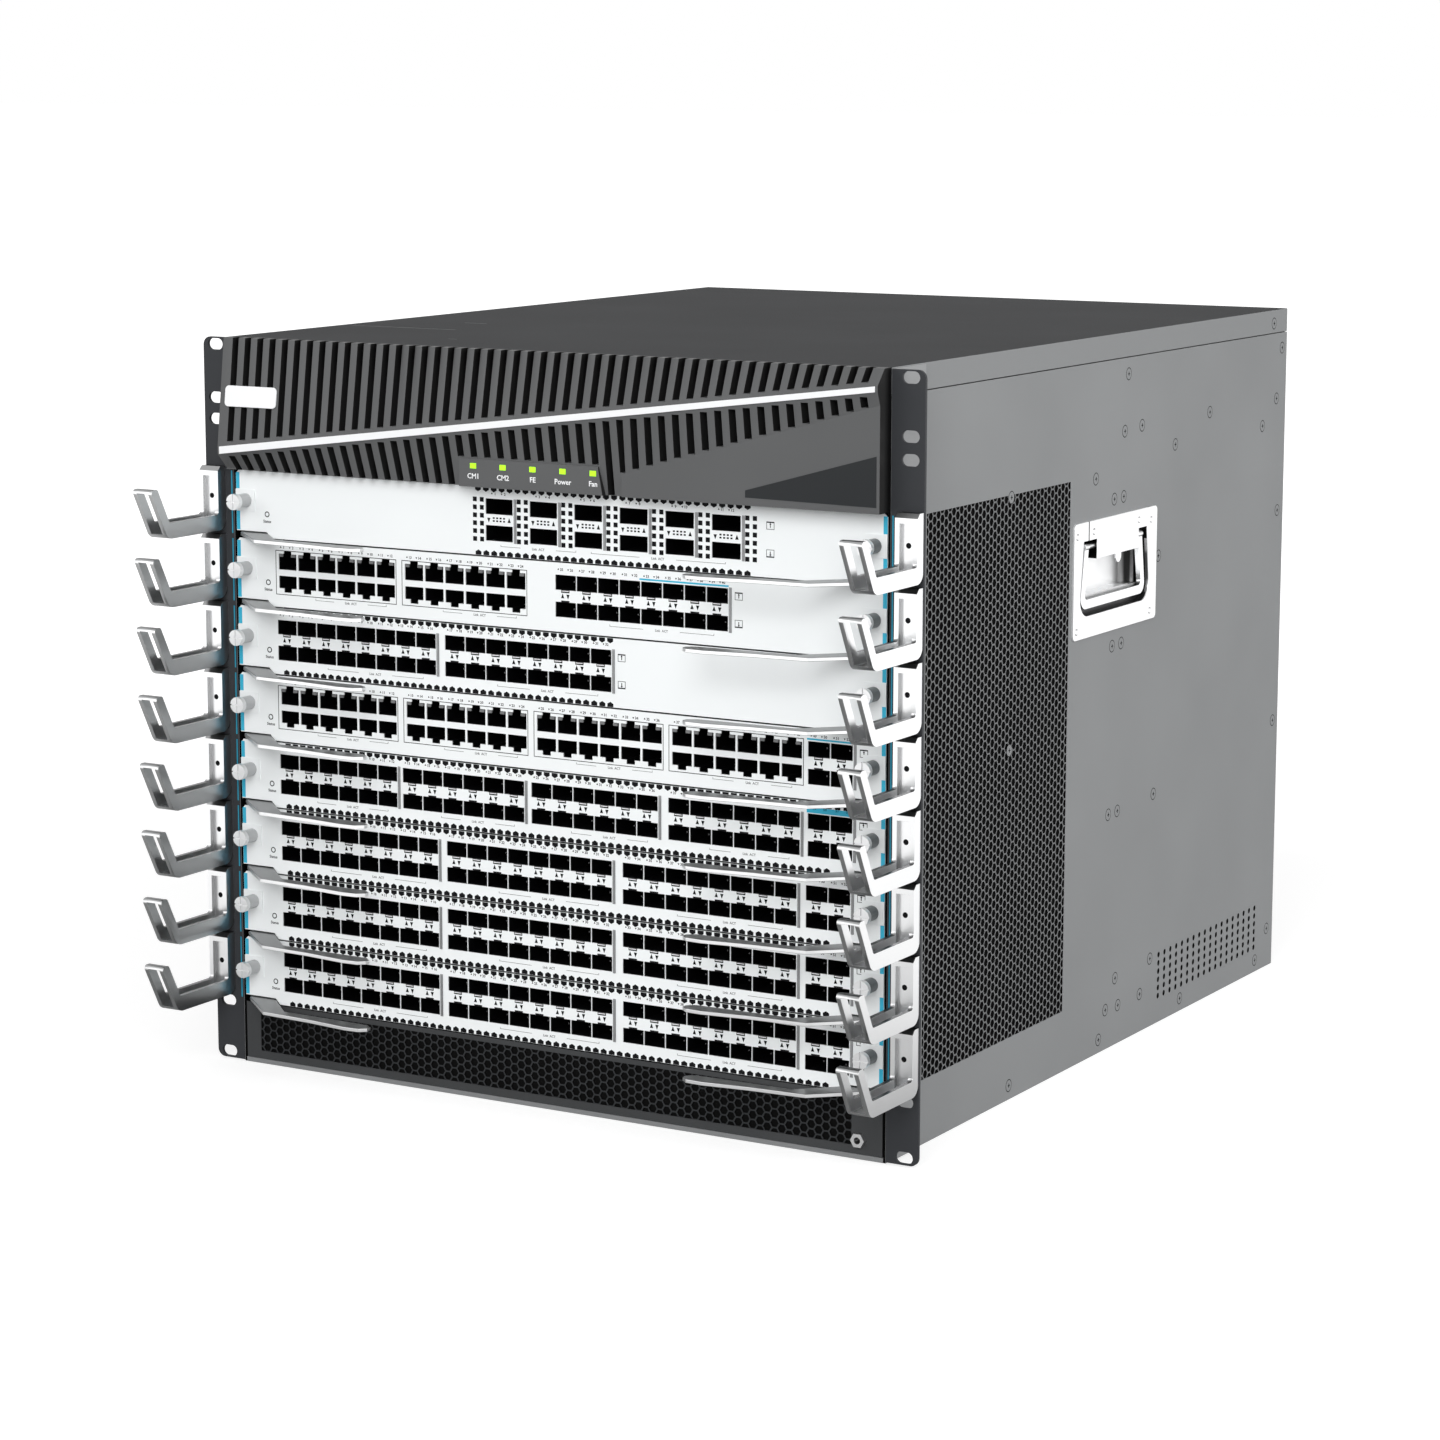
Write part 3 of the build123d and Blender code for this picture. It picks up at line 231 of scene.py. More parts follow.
def makeFinish(look):
    finish = bpy.data.materials.new(look["name"])
    finish.use_nodes = True
    tree = finish.node_tree
    shader = tree.nodes["Principled BSDF"]
    shader.inputs["Metallic"].default_value = look["metal"]
    shader.inputs["Specular IOR Level"].default_value = look.get("shine", grainLook["shine"])
    place = tree.nodes.new("ShaderNodeTexCoord")
    colour = cloudTone(tree, place, look)
    if "inward" in look:
        colour = blendTone(tree, inwardShare(tree, place), colour, look["inward"])
    for box, axis, start, end, tone in look.get("shadedWalls", []):
        share = both(tree, insideBox(tree, place, box, look.get("soft", 0)),
                     rise(tree, reachAlong(tree, place, axis, "Normal"), start, end))
        colour = blendTone(tree, share, colour, tone)
    for axis, start, end, tone in look.get("stages", []):
        colour = blendTone(tree, rise(tree, reachAlong(tree, place, axis), start, end), colour, tone)
    for box, tone in look.get("patches", []):
        colour = blendTone(tree, insideBox(tree, place, box, look["soft"]), colour, tone)
    for box, axis, start, end, tone in look.get("fades", []):
        share = both(tree, insideBox(tree, place, box, look["soft"]),
                     rise(tree, reachAlong(tree, place, axis), start, end))
        colour = blendTone(tree, share, colour, tone)
    tree.links.new(colour, shader.inputs["Base Color"])
    grain = tree.nodes.new("ShaderNodeTexNoise")
    grain.inputs["Scale"].default_value = look["grain"]
    grain.inputs["Detail"].default_value = grainLook["detail"]
    tree.links.new(place.outputs["Object"], grain.inputs["Vector"])
    vary = look.get("vary", grainLook["vary"])
    rough = tree.nodes.new("ShaderNodeMapRange")
    rough.inputs["To Min"].default_value = look["rough"] - vary
    rough.inputs["To Max"].default_value = look["rough"] + vary
    tree.links.new(grain.outputs["Fac"], rough.inputs["Value"])
    tree.links.new(rough.outputs["Result"], shader.inputs["Roughness"])
    bump = tree.nodes.new("ShaderNodeBump")
    bump.inputs["Strength"].default_value = look["bump"]
    bump.inputs["Distance"].default_value = grainLook["height"]
    tree.links.new(grain.outputs["Fac"], bump.inputs["Height"])
    tree.links.new(bump.outputs["Normal"], shader.inputs["Normal"])
    if look.get("glow"):
        tree.links.new(colour, shader.inputs["Emission Color"])
        shader.inputs["Emission Strength"].default_value = look["glow"]
    return finish


looks = [sidePaint, coverShadePaint, hexPaint, grillePaint, earPaint, intakePaint, bezelPlastic, insetPaint, cardPaint,
         seatPaint, platePlastic, satinMetal, leverMetal, handleMetal, screwMetal, zincSheet, gasketMetal, cyanInk,
         cyanReflection, blackInk, greyInk, boardGreen, fanBlack, moduleGrey, lampGreen]
finishes = {look["name"]: makeFinish(look) for look in looks}
print("finishes made", len(finishes))


# small tools for modelling by hand, sizes in millimetres and angles in degrees

alongX = (0, 90, 0)
alongY = (90, 0, 0)
smoothAngle = 35
printed = {"thick": 0.03, "extrude": 0.02, "bold": 0.02}


def clearPick():
    if bpy.context.object and bpy.context.object.mode != "OBJECT":
        bpy.ops.object.mode_set(mode="OBJECT")
    bpy.ops.object.select_all(action="DESELECT")


def pickOnly(piece):
    clearPick()
    piece.select_set(True)
    bpy.context.view_layer.objects.active = piece


def setPlace(piece):
    pickOnly(piece)
    bpy.ops.object.transform_apply(location=True, rotation=True, scale=True)


def useModifiers(piece):
    pickOnly(piece)
    for modifier in list(piece.modifiers):
        bpy.ops.object.modifier_apply(modifier=modifier.name)


def openMesh(piece):
    pickOnly(piece)
    bpy.ops.object.mode_set(mode="EDIT")
    bpy.ops.mesh.select_all(action="SELECT")


def closeMesh():
    bpy.ops.object.mode_set(mode="OBJECT")


def addBlock(name, low, high, bevel=0):
    clearPick()
    centre = [(a + b) / 2 * mm for a, b in zip(low, high)]
    bpy.ops.mesh.primitive_cube_add(size=1, location=centre)
    piece = bpy.context.object
    piece.name = name
    piece.scale = [abs(b - a) * mm for a, b in zip(low, high)]
    setPlace(piece)
    if bevel:
        soften(piece, bevel)
    return piece


def addRod(sides, radius, depth, centre, turn):
    clearPick()
    bpy.ops.mesh.primitive_cylinder_add(vertices=sides, radius=radius * mm, depth=depth * mm,
                                        location=[v * mm for v in centre],
                                        rotation=[math.radians(t) for t in turn])
    rod = bpy.context.object
    setPlace(rod)
    return rod


def soften(piece, width, segments=2, angle=40):
    edge = piece.modifiers.new("edge", "BEVEL")
    edge.width = width * mm
    edge.segments = segments
    edge.limit_method = "ANGLE"
    edge.angle_limit = math.radians(angle)
    useModifiers(piece)


def thicken(piece, thick, offset=0):
    wall = piece.modifiers.new("wall", "SOLIDIFY")
    wall.thickness = thick * mm
    wall.offset = offset
    useModifiers(piece)


def combine(piece, tool, operation):
    # cut the tool out of the piece or weld it on
    change = piece.modifiers.new("change", "BOOLEAN")
    change.operation = operation
    change.object = tool
    change.solver = "EXACT"
    useModifiers(piece)
    bpy.data.objects.remove(tool)


def arrayOut(piece, count, step):
    if count > 1:
        row = piece.modifiers.new("row", "ARRAY")
        row.use_relative_offset = False
        row.use_constant_offset = True
        row.constant_offset_displace = [s * mm for s in step]
        row.count = count
        useModifiers(piece)
    return piece


def movedCopy(piece, move):
    pickOnly(piece)
    bpy.ops.object.duplicate()
    twin = bpy.context.object
    bpy.ops.transform.translate(value=[v * mm for v in move])
    setPlace(twin)
    return twin


def mirroredCopy(piece):
    pickOnly(piece)
    bpy.ops.object.duplicate()
    twin = bpy.context.object
    twin.scale = (-1, 1, 1)
    setPlace(twin)
    openMesh(twin)
    bpy.ops.mesh.normals_make_consistent(inside=False)
    closeMesh()
    return twin


def joinUp(pieces, name):
    clearPick()
    for piece in pieces:
        piece.select_set(True)
    bpy.context.view_layer.objects.active = pieces[0]
    if len(pieces) > 1:
        bpy.ops.object.join()
    whole = bpy.context.view_layer.objects.active
    whole.name = name
    return whole


def dress(piece, finish, body, smooth=True):
    piece.data.materials.clear()
    piece.data.materials.append(finishes[finish])
    if smooth:
        pickOnly(piece)
        bpy.ops.object.shade_smooth_by_angle(angle=math.radians(smoothAngle))
    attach(piece, body)


def dressBoth(piece, finish, smooth=True):
    # the piece on the right and its mirrored twin on the left
    twin = mirroredCopy(piece)
    twin.name = piece.name.replace("Right", "Left")
    dress(piece, finish, "chassis", smooth)
    dress(twin, finish, "chassis", smooth)


def cutBeyond(piece, point, normal):
    openMesh(piece)
    bpy.ops.mesh.bisect(plane_co=[v * mm for v in point], plane_no=normal, clear_outer=True)
    closeMesh()


def addMark(sides, radius, centre, turn=0):
    # a thin printed shape on a front face
    return addRod(sides, radius, printed["thick"], centre, (alongY[0], turn, 0))


def addWord(body, size, centre):
    clearPick()
    bpy.ops.object.text_add(location=[v * mm for v in centre], rotation=[math.radians(t) for t in alongY])
    word = bpy.context.object
    word.data.body = body
    word.data.size = size * mm
    word.data.align_x = "CENTER"
    word.data.extrude = printed["extrude"] * mm
    word.data.offset = printed["bold"] * size * mm
    word.data.resolution_u = 2
    bpy.ops.object.convert(target="MESH")
    word = bpy.context.object
    setPlace(word)
    return word


# hexagon hole fields of the sides and the intake

hexField = {"column": 4.72, "row": 5.45, "across": 4.55, "thick": 0.5, "merge": 0.02}
sideField = {"low": (42.4, 37.6), "high": (227.6, 358.4), "face": 221.0, "sunk": 0.02}
intakeField = {"low": (-208.5, 7.8), "high": (199.5, 34.6), "face": 0.0, "sunk": 0.05}


def makeHexSheet(name, low, high):
    # a flat sheet in the XZ plane at y = 0, one hexagon ring repeated and trimmed
    clearPick()
    outer = hexField["row"] / math.sqrt(3)
    bpy.ops.mesh.primitive_circle_add(vertices=6, radius=outer * mm, fill_type="NOTHING",
                                      location=(low[0] * mm, 0, low[1] * mm),
                                      rotation=(math.radians(90), math.radians(30), 0))
    sheet = bpy.context.object
    setPlace(sheet)
    shrink = hexField["across"] / hexField["row"]
    openMesh(sheet)
    bpy.ops.mesh.extrude_edges_move()
    bpy.ops.transform.resize(value=(shrink, shrink, shrink))
    closeMesh()
    columns = math.ceil((high[0] - low[0]) / (2 * hexField["column"])) + 1
    rows = math.ceil((high[1] - low[1]) / hexField["row"]) + 2
    shifted = movedCopy(sheet, (hexField["column"], 0, -hexField["row"] / 2))
    sheet = joinUp([sheet, shifted], name)
    arrayOut(sheet, rows, (0, 0, hexField["row"]))
    arrayOut(sheet, columns, (2 * hexField["column"], 0, 0))
    openMesh(sheet)
    bpy.ops.mesh.remove_doubles(threshold=hexField["merge"] * mm)
    bpy.ops.mesh.normals_make_consistent(inside=False)
    closeMesh()
    cutBeyond(sheet, (low[0], 0, 0), (-1, 0, 0))
    cutBeyond(sheet, (high[0], 0, 0), (1, 0, 0))
    cutBeyond(sheet, (0, 0, low[1]), (0, 0, -1))
    cutBeyond(sheet, (0, 0, high[1]), (0, 0, 1))
    if sheet.data.polygons[0].normal.y > 0:
        openMesh(sheet)
        bpy.ops.mesh.flip_normals()
        closeMesh()
    thicken(sheet, hexField["thick"], -1)
    return sheet


grille = makeHexSheet("intakeHexField", intakeField["low"], intakeField["high"])
grille.location.y = intakeField["sunk"] * mm
setPlace(grille)
dress(grille, "grillePaint", "chassis", smooth=False)

mesh = makeHexSheet("sideHexFieldRight", sideField["low"], sideField["high"])
mesh.rotation_euler = (0, 0, math.radians(90))
mesh.location.x = (sideField["face"] - sideField["sunk"]) * mm
setPlace(mesh)
dressBoth(mesh, "hexPaint", smooth=False)
print("hexagon fields made")

# rear vent of the sides: a thin sheet drilled in rows over the shallow recess

rearVent = {"low": (367.0, 14.2), "high": (530.0, 47.0), "first": (370.0, 17.2), "pitch": (9.235, 5.36),
            "count": (18, 6), "radius": 1.9, "face": (220.45, 220.98), "gap": 0.05, "sides": 14, "drill": 4}


def makeRearVent():
    (y0, z0), (y1, z1) = rearVent["low"], rearVent["high"]
    x0, x1 = rearVent["face"]
    gap = rearVent["gap"]
    sheet = addBlock("rearVentRight", (x0, y0 + gap, z0 + gap), (x1, y1 - gap, z1 - gap))
    drill = addRod(rearVent["sides"], rearVent["radius"], rearVent["drill"], (x1, *rearVent["first"]), alongX)
    arrayOut(drill, rearVent["count"][0], (0, rearVent["pitch"][0], 0))
    arrayOut(drill, rearVent["count"][1], (0, 0, rearVent["pitch"][1]))
    combine(sheet, drill, "DIFFERENCE")
    return sheet


dressBoth(makeRearVent(), "sidePaint", smooth=False)
print("rear vents made")

# countersunk screws of the side sheets; the black cross and the black ring round each head are painted shade in
# the drive recess and the countersink

sideScrew = {"face": 221.0, "radius": 3.4, "proud": 0.25, "sides": 16, "bevel": 0.1, "cross": 2.6, "bar": 0.7,
             "mark": (221.08, 221.16), "ring": 0.5,
             "places": [(307.5, 416.4), (303.4, 382.0), (328.6, 383.5), (432.8, 383.3), (379.5, 367.4),
                        (520.1, 367.2), (543.0, 383.5), (550.7, 416.3), (535.9, 433.0), (548.9, 309.2),
                        (262.8, 356.8), (289.8, 342.1), (303.3, 342.4), (356.7, 300.2), (290.1, 252.3),
                        (303.4, 252.5), (550.0, 168.0), (356.3, 150.0), (302.2, 148.3), (289.0, 148.1),
                        (548.5, 25.9), (356.1, 44.2), (303.5, 42.5), (341.2, 24.4), (289.8, 25.1),
                        (308.4, 24.3), (404.5, 8.2), (529.3, 7.9), (280.3, 8.3), (155.0, 8.5),
                        (148.1, 357.0), (149.7, 209.7)]}


def makeSideScrews():
    face, radius, ring = sideScrew["face"], sideScrew["radius"], sideScrew["ring"]
    long, short = sideScrew["cross"] / 2, sideScrew["bar"] / 2
    x0, x1 = sideScrew["mark"]
    head = addRod(sideScrew["sides"], radius, sideScrew["proud"], (face, 0, 0), alongX)
    soften(head, sideScrew["bevel"], 1)
    marks = [addBlock("mark", (x0, -wide, -tall), (x1, wide, tall))
             for wide, tall in ((long, short), (short, long))]
    cross = joinUp(marks + [addRing((face, 0, 0), radius + ring, ring, "X")], "cross")
    heads, crosses = [], []
    for y, z in sideScrew["places"]:
        heads.append(movedCopy(head, (0, y, z)))
        crosses.append(movedCopy(cross, (0, y, z)))
    bpy.data.objects.remove(head)
    bpy.data.objects.remove(cross)
    return joinUp(heads, "sideScrewsRight"), joinUp(crosses, "sideScrewCrossesRight")


def addRing(centre, radius, width, facing, thick=0.03, sides=20):
    # a flat ring that faces along X or along Y
    turn = alongX if facing == "X" else alongY
    clearPick()
    bpy.ops.mesh.primitive_circle_add(vertices=sides, radius=radius * mm, fill_type="NOTHING",
                                      location=[v * mm for v in centre], rotation=[math.radians(t) for t in turn])
    ring = bpy.context.object
    shrink = (radius - width) / radius
    openMesh(ring)
    bpy.ops.mesh.extrude_edges_move()
    bpy.ops.transform.resize(value=(shrink, shrink, shrink), center_override=[v * mm for v in centre])
    closeMesh()
    setPlace(ring)
    thicken(ring, thick)
    return ring


heads, crosses = makeSideScrews()
dressBoth(heads, "sidePaint")
dressBoth(crosses, "blackInk", smooth=False)
print("side screws made")

# line cards: each block of sockets by kind, its left edge along X in millimetres, and its columns

card = {"count": 8, "pitch": 40.64, "first": 322.9, "face": 39.7, "halfWidth": 219.2}
smallPort = {"pitch": 14.25, "width": 13.85, "lower": 17.25, "upper": 24.1,
             "arrow": 1.8, "arrowFeet": (20.4, 20.8), "bar": 2.8, "upperBar": (-1.5, 0.1), "lowerBar": (-0.1, 0.9),
             "latch": (-2.3, 2.3), "latchDeep": (-0.3, 0.6), "latchTall": (-0.7, -0.2), "latchBevel": 0.05,
             "glints": [((0.6, 8, 12.05), (1.3, 8.3, 12.85)), ((0.6, 8, 27.7), (1.3, 8.3, 28.5)),
                        ((3.4, 5, 31.2), (4.0, 5.3, 31.7))]}
largePort = {"first": -41.2, "pitch": 30.05, "width": 18.5, "arrows": [(2.2, 20.9, 180), (16.1, 20.6, 0)],
             "dots": (4.9, 19.7), "dotStep": (2.35, 1.7), "dotSize": (1.35, 0.95), "dotCount": (4, 2),
             "squares": (-8.7, -3.9), "lastSquares": (21.35, 26.15), "squareTop": 30.8, "squareStep": 4.58,
             "squareSize": 2.7, "squareCount": 6}
jackPort = {"pitch": 14.15, "width": 12.9, "low": 7.4, "high": 34.0, "left": 1.6, "right": 0.5, "line": 0.4,
            "lampTall": (30.1, 31.7), "lampDeep": (0.15, 1.2), "lampWide": 3.0, "lampEdge": 0.5, "lampBevel": 0.1}
cardPorts = {1: [("large", largePort["first"] + largePort["pitch"] * i, 1) for i in range(6)],
             2: [("jack", -189.4, 6), ("jack", -98.6, 6), ("small", 5.7, 8)],
             3: [("small", -190.6, 8), ("small", -70.6, 8)],
             4: [("jack", -189.4, 6), ("jack", -98.6, 6), ("jack", -7.8, 6), ("jack", 82.6, 6),
                 ("small", 170.4, 2)],
             5: [("small", -190.6, 6), ("small", -101.6, 6), ("small", -11.6, 6), ("small", 80.4, 6),
                 ("small", 170.4, 2)]}
for number in (6, 7, 8):
    cardPorts[number] = [("small", -190.6, 8), ("small", -70.8, 8), ("small", 50.0, 8), ("small", 169.4, 2)]
cardTrim = {"ink": -0.02, "thick": 0.02, "strip": (0.1, 2.6), "stripSpans": ((4.0, 15.2), (28.6, 38.3)),
            "stripDeep": (-0.06, 0.05), "status": (-196.7, 14.2), "statusRing": (1.75, 0.6, 0.04),
            "statusSize": 2.4, "statusDrop": 5}
portLabel = {"foot": 35.1, "size": 2.2, "side": 3.3, "away": 0.7, "arrow": 0.7, "arrowAway": 1.5, "arrowUp": 0.8}
bracket = {"foot": 5.6, "gap": 12, "least": 3, "line": 0.25, "tick": 1.1, "size": 2.0, "drop": 0.6,
           "share": (0.32, 0.92), "largeSpans": ((-31, 20), (30, 118))}
swapMark = {"wide": 5.0, "tall": 4.4, "line": 0.3, "bar": 0.7, "stem": 0.25, "reach": 1.2, "tip": 0.75,
            "tipAway": 0.9, "away": 4.2, "largeWidth": 30.6, "upFoot": 26.6, "downFoot": 11.1}
gasket = {"away": 0.6, "largeAway": 0.4, "wide": 1.5, "lip": 0.1, "deep": 0.02,
          "ridgeOut": 0.8, "ridge": (8.2, 8.9), "ridgeBevel": 0.2, "step": 0.8, "count": 31,
          "baseOut": 0.35, "base": (8, 33.4)}
triangle = {"radius": 1.85, "narrow": 0.68}
edgeVent = {"pitch": 5.4, "radius": 2.3, "deep": 3.0, "inset": 0.1, "sides": 6,
            "spans": {1: (-49, 138), 3: (-187, 46)}}
for number in (5, 6, 7, 8):
    edgeVent["spans"][number] = (-187, 187)
cyanLine = {2: (62.0, 119.9, 33.5, 34.5), 4: (170.0, 198.9, 33.5, 34.5), 5: (170.0, 198.9, 33.3, 36.4)}
cyanLineDeep = (-0.04, 0.05)
lineTicks = {"card": 5, "first": 171.5, "step": 5.4, "wide": 3.4, "tall": (36.5, 38.6), "count": 5}
cardFamilies = ("cardGreys", "cardMarks", "cardStrips", "portGaskets", "portLatches")


def cardLow(number):
    return card["first"] - (number - 1) * card["pitch"]


def inkBlock(x0, x1, z0, z1):
    ink, thick = cardTrim["ink"], cardTrim["thick"]
    return addBlock("ink", (x0, ink - thick, z0), (x1, ink + thick, z1))


def tallMark(x, z, turn):
    mark = addMark(3, triangle["radius"], (x, cardTrim["ink"], z), turn)
    pickOnly(mark)
    bpy.ops.transform.resize(value=(triangle["narrow"], 1, 1), center_override=(x * mm, 0, z * mm))
    setPlace(mark)
    return mark


def smallMarks(start, columns, low):
    middle = start + smallPort["width"] / 2
    away, bar = smallPort["arrow"], smallPort["bar"]
    marks = [tallMark(middle - away, low + smallPort["arrowFeet"][0], 0),
             tallMark(middle + away, low + smallPort["arrowFeet"][1], 180)]
    for edge in ("upper", "lower"):
        foot, top = smallPort[edge + "Bar"]
        level = low + smallPort[edge]
        marks.append(inkBlock(middle - bar, middle + bar, level + foot, level + top))
    return arrayOut(joinUp(marks, "marks"), columns, (smallPort["pitch"], 0, 0))


def smallLatches(start, columns, low):
    middle, upper = start + smallPort["width"] / 2, low + smallPort["upper"]
    (x0, x1), (y0, y1), (z0, z1) = smallPort["latch"], smallPort["latchDeep"], smallPort["latchTall"]
    latch = addBlock("latch", (middle + x0, y0, upper + z0), (middle + x1, y1, upper + z1),
                     smallPort["latchBevel"])
    return arrayOut(latch, columns, (smallPort["pitch"], 0, 0))


def socketGlints(start, columns, low):
    middle = start + smallPort["width"] / 2
    glints = [addBlock("glint", (middle + x0, y0, low + z0), (middle + x1, y1, low + z1))
              for (x0, y0, z0), (x1, y1, z1) in smallPort["glints"]]
    return arrayOut(joinUp(glints, "glints"), columns, (smallPort["pitch"], 0, 0))


def largeMarks(start, low, last):
    marks = [tallMark(start + x, low + z, turn) for x, z, turn in largePort["arrows"]]
    (dotX, dotZ), (stepX, stepZ), (wide, tall) = largePort["dots"], largePort["dotStep"], largePort["dotSize"]
    for column in range(largePort["dotCount"][0]):
        for row in range(largePort["dotCount"][1]):
            x, z = start + dotX + column * stepX, low + dotZ + row * stepZ
            marks.append(inkBlock(x, x + wide, z, z + tall))
    size = largePort["squareSize"]
    for side in largePort["squares"] + (largePort["lastSquares"] if last else ()):
        for row in range(largePort["squareCount"]):
            z = low + largePort["squareTop"] - row * largePort["squareStep"]
            marks.append(inkBlock(start + side, start + side + size, z, z + size))
    return joinUp(marks, "marks")


def outlineBox(x0, x1, z0, z1, line):
    return [inkBlock(x0, x1, z0, z0 + line), inkBlock(x0, x1, z1 - line, z1),
            inkBlock(x0, x0 + line, z0, z1), inkBlock(x1 - line, x1, z0, z1)]


def jackLines(start, columns, low):
    x0, x1 = start - jackPort["left"], start + columns * jackPort["pitch"] + jackPort["right"]
    return joinUp(outlineBox(x0, x1, low + jackPort["low"], low + jackPort["high"], jackPort["line"]), "frame")


def jackLamps(start, columns, low):
    edge, wide = jackPort["lampEdge"], jackPort["lampWide"]
    (y0, y1), (z0, z1) = jackPort["lampDeep"], jackPort["lampTall"]
    lamps = [addBlock("lamp", (x, y0, low + z0), (x + wide, y1, low + z1), jackPort["lampBevel"])
             for x in (start + edge, start + jackPort["width"] - edge - wide)]
    return arrayOut(joinUp(lamps, "lamps"), columns, (jackPort["pitch"], 0, 0))


def swapIcon(x, z, up):
    wide, tall, line, bar = (swapMark[key] for key in ("wide", "tall", "line", "bar"))
    stem, reach = swapMark["stem"], swapMark["reach"]
    centre, middle = x + wide / 2, z + tall / 2
    barFoot = z + tall - bar if up else z
    tip = middle + swapMark["tipAway"] * (1 if up else -1)
    icon = outlineBox(x, x + wide, z, z + tall, line)
    icon += [inkBlock(x + line, x + wide - line, barFoot, barFoot + bar),
             inkBlock(centre - stem, centre + stem, middle - reach, middle + reach),
             addMark(3, swapMark["tip"], (centre, cardTrim["ink"], tip), 0 if up else 180)]
    return joinUp(icon, "icon")


# the vent holes along the card edges are drawn as flat black hexagons on the face: painted shade of the holes
def edgeVents(number, low):
    if number not in edgeVent["spans"]:
        return []
    x0, x1 = edgeVent["spans"][number]
    pitch, radius, inset = edgeVent["pitch"], edgeVent["radius"], edgeVent["inset"]
    away = edgeVent["deep"] - radius
    rows = []
    for edge, inward in ((low + inset, 1), (low + card["face"] - inset, -1)):
        hole = addMark(edgeVent["sides"], radius, (x0 + pitch / 2, cardTrim["ink"], edge + inward * away))
        cutBeyond(hole, (0, 0, edge), (0, 0, -inward))
        rows.append(arrayOut(hole, int((x1 - x0) / pitch), (pitch, 0, 0)))
    return rows


def portNumbers(blocks, low):
    words = []
    count = 1
    foot, ink = low + portLabel["foot"], cardTrim["ink"]
    for kind, start, columns in blocks:
        pitch = {"small": smallPort["pitch"], "jack": jackPort["pitch"], "large": largePort["width"]}[kind]
        for column in range(columns):
            for side in (-1, 1):
                place = start + (column + 0.5) * pitch + side * portLabel["side"]
                words.append(addWord(str(count), portLabel["size"], (place + portLabel["away"], ink, foot)))
                words.append(addMark(3, portLabel["arrow"],
                                     (place - portLabel["arrowAway"], ink, foot + portLabel["arrowUp"]),
                                     0 if side < 0 else 180))
                count += 1
    return words


def bracketLine(x0, x1, low):
    z, line, tick = low + bracket["foot"], bracket["line"], bracket["tick"]
    middle = (x0 + x1) / 2
    gap = min(bracket["gap"], (x1 - x0) / 2 - bracket["least"])
    return [inkBlock(x0, middle - gap, z, z + line), inkBlock(middle + gap, x1, z, z + line),
            inkBlock(x0, x0 + line, z, z + tick), inkBlock(x1 - line, x1, z, z + tick),
            addWord("Link  ACT", bracket["size"], (middle, cardTrim["ink"], z - bracket["drop"]))]


def cardInks(number, low):
    ports = cardPorts[number]
    inks = edgeVents(number, low) + portNumbers(ports, low)
    for kind, start, columns in ports:
        if kind == "small":
            inks.append(smallMarks(start, columns, low))
        if kind == "large":
            inks.append(largeMarks(start, low, start == ports[-1][1]))
        if kind == "jack":
            inks.append(jackLines(start, columns, low))
    kind, start, columns = ports[-1]
    wide = columns * smallPort["pitch"] if kind == "small" else swapMark["largeWidth"]
    right = start + wide + swapMark["away"]
    inks += [swapIcon(right, low + swapMark["upFoot"], True), swapIcon(right, low + swapMark["downFoot"], False)]
    (x, z), (radius, width, thick) = cardTrim["status"], cardTrim["statusRing"]
    inks += [addRing((x, cardTrim["ink"], low + z), radius, width, "Y", thick),
             addWord("Status", cardTrim["statusSize"], (x, cardTrim["ink"], low + z - cardTrim["statusDrop"]))]
    if number == lineTicks["card"]:
        z0, z1 = lineTicks["tall"]
        for tick in range(lineTicks["count"]):
            x = lineTicks["first"] + tick * lineTicks["step"]
            inks.append(inkBlock(x, x + lineTicks["wide"], low + z0, low + z1))
    return inks


def cardGreys(number, low):
    ports = cardPorts[number]
    greys = []
    if ports[0][0] == "large":
        for x0, x1 in bracket["largeSpans"]:
            greys += bracketLine(x0, x1, low)
    for kind, start, columns in ports:
        if kind == "jack":
            greys.append(jackLamps(start, columns, low))
        if kind == "small":
            greys.append(socketGlints(start, columns, low))
        if kind != "large" and columns > 2:
            span = columns * (smallPort["pitch"] if kind == "small" else jackPort["pitch"])
            x0, x1 = (start + span * share for share in bracket["share"])
            greys += bracketLine(x0, x1, low)
    return greys


def cardGaskets(number, low):
    (ridgeFoot, ridgeTop), (foot, top) = gasket["ridge"], gasket["base"]
    gaskets = []
    for kind, start, columns in cardPorts[number]:
        if kind != "jack":
            wide = columns * smallPort["pitch"] if kind == "small" else largePort["width"] + gasket["largeAway"]
            x0 = start + wide + gasket["away"]
            x1 = x0 + gasket["wide"]
            ridges = addBlock("gasket", (x0, -gasket["ridgeOut"], low + ridgeFoot),
                              (x1, gasket["deep"], low + ridgeTop), gasket["ridgeBevel"])
            arrayOut(ridges, gasket["count"], (0, 0, gasket["step"]))
            gaskets += [ridges, addBlock("gasket", (x0 - gasket["lip"], -gasket["baseOut"], low + foot),
                                         (x1 + gasket["lip"], gasket["deep"], low + top))]
    return gaskets


def cardStrips(number, low):
    outer, inner = (card["halfWidth"] - edge for edge in cardTrim["strip"])
    y0, y1 = cardTrim["stripDeep"]
    strips = []
    for side in (-1, 1):
        a, b = sorted((side * outer, side * inner))
        for z0, z1 in cardTrim["stripSpans"]:
            strips.append(addBlock("strip", (a, y0, low + z0), (b, y1, low + z1)))
    if number in cyanLine:
        x0, x1, z0, z1 = cyanLine[number]
        strips.append(addBlock("line", (x0, cyanLineDeep[0], low + z0), (x1, cyanLineDeep[1], low + z1)))
    return strips


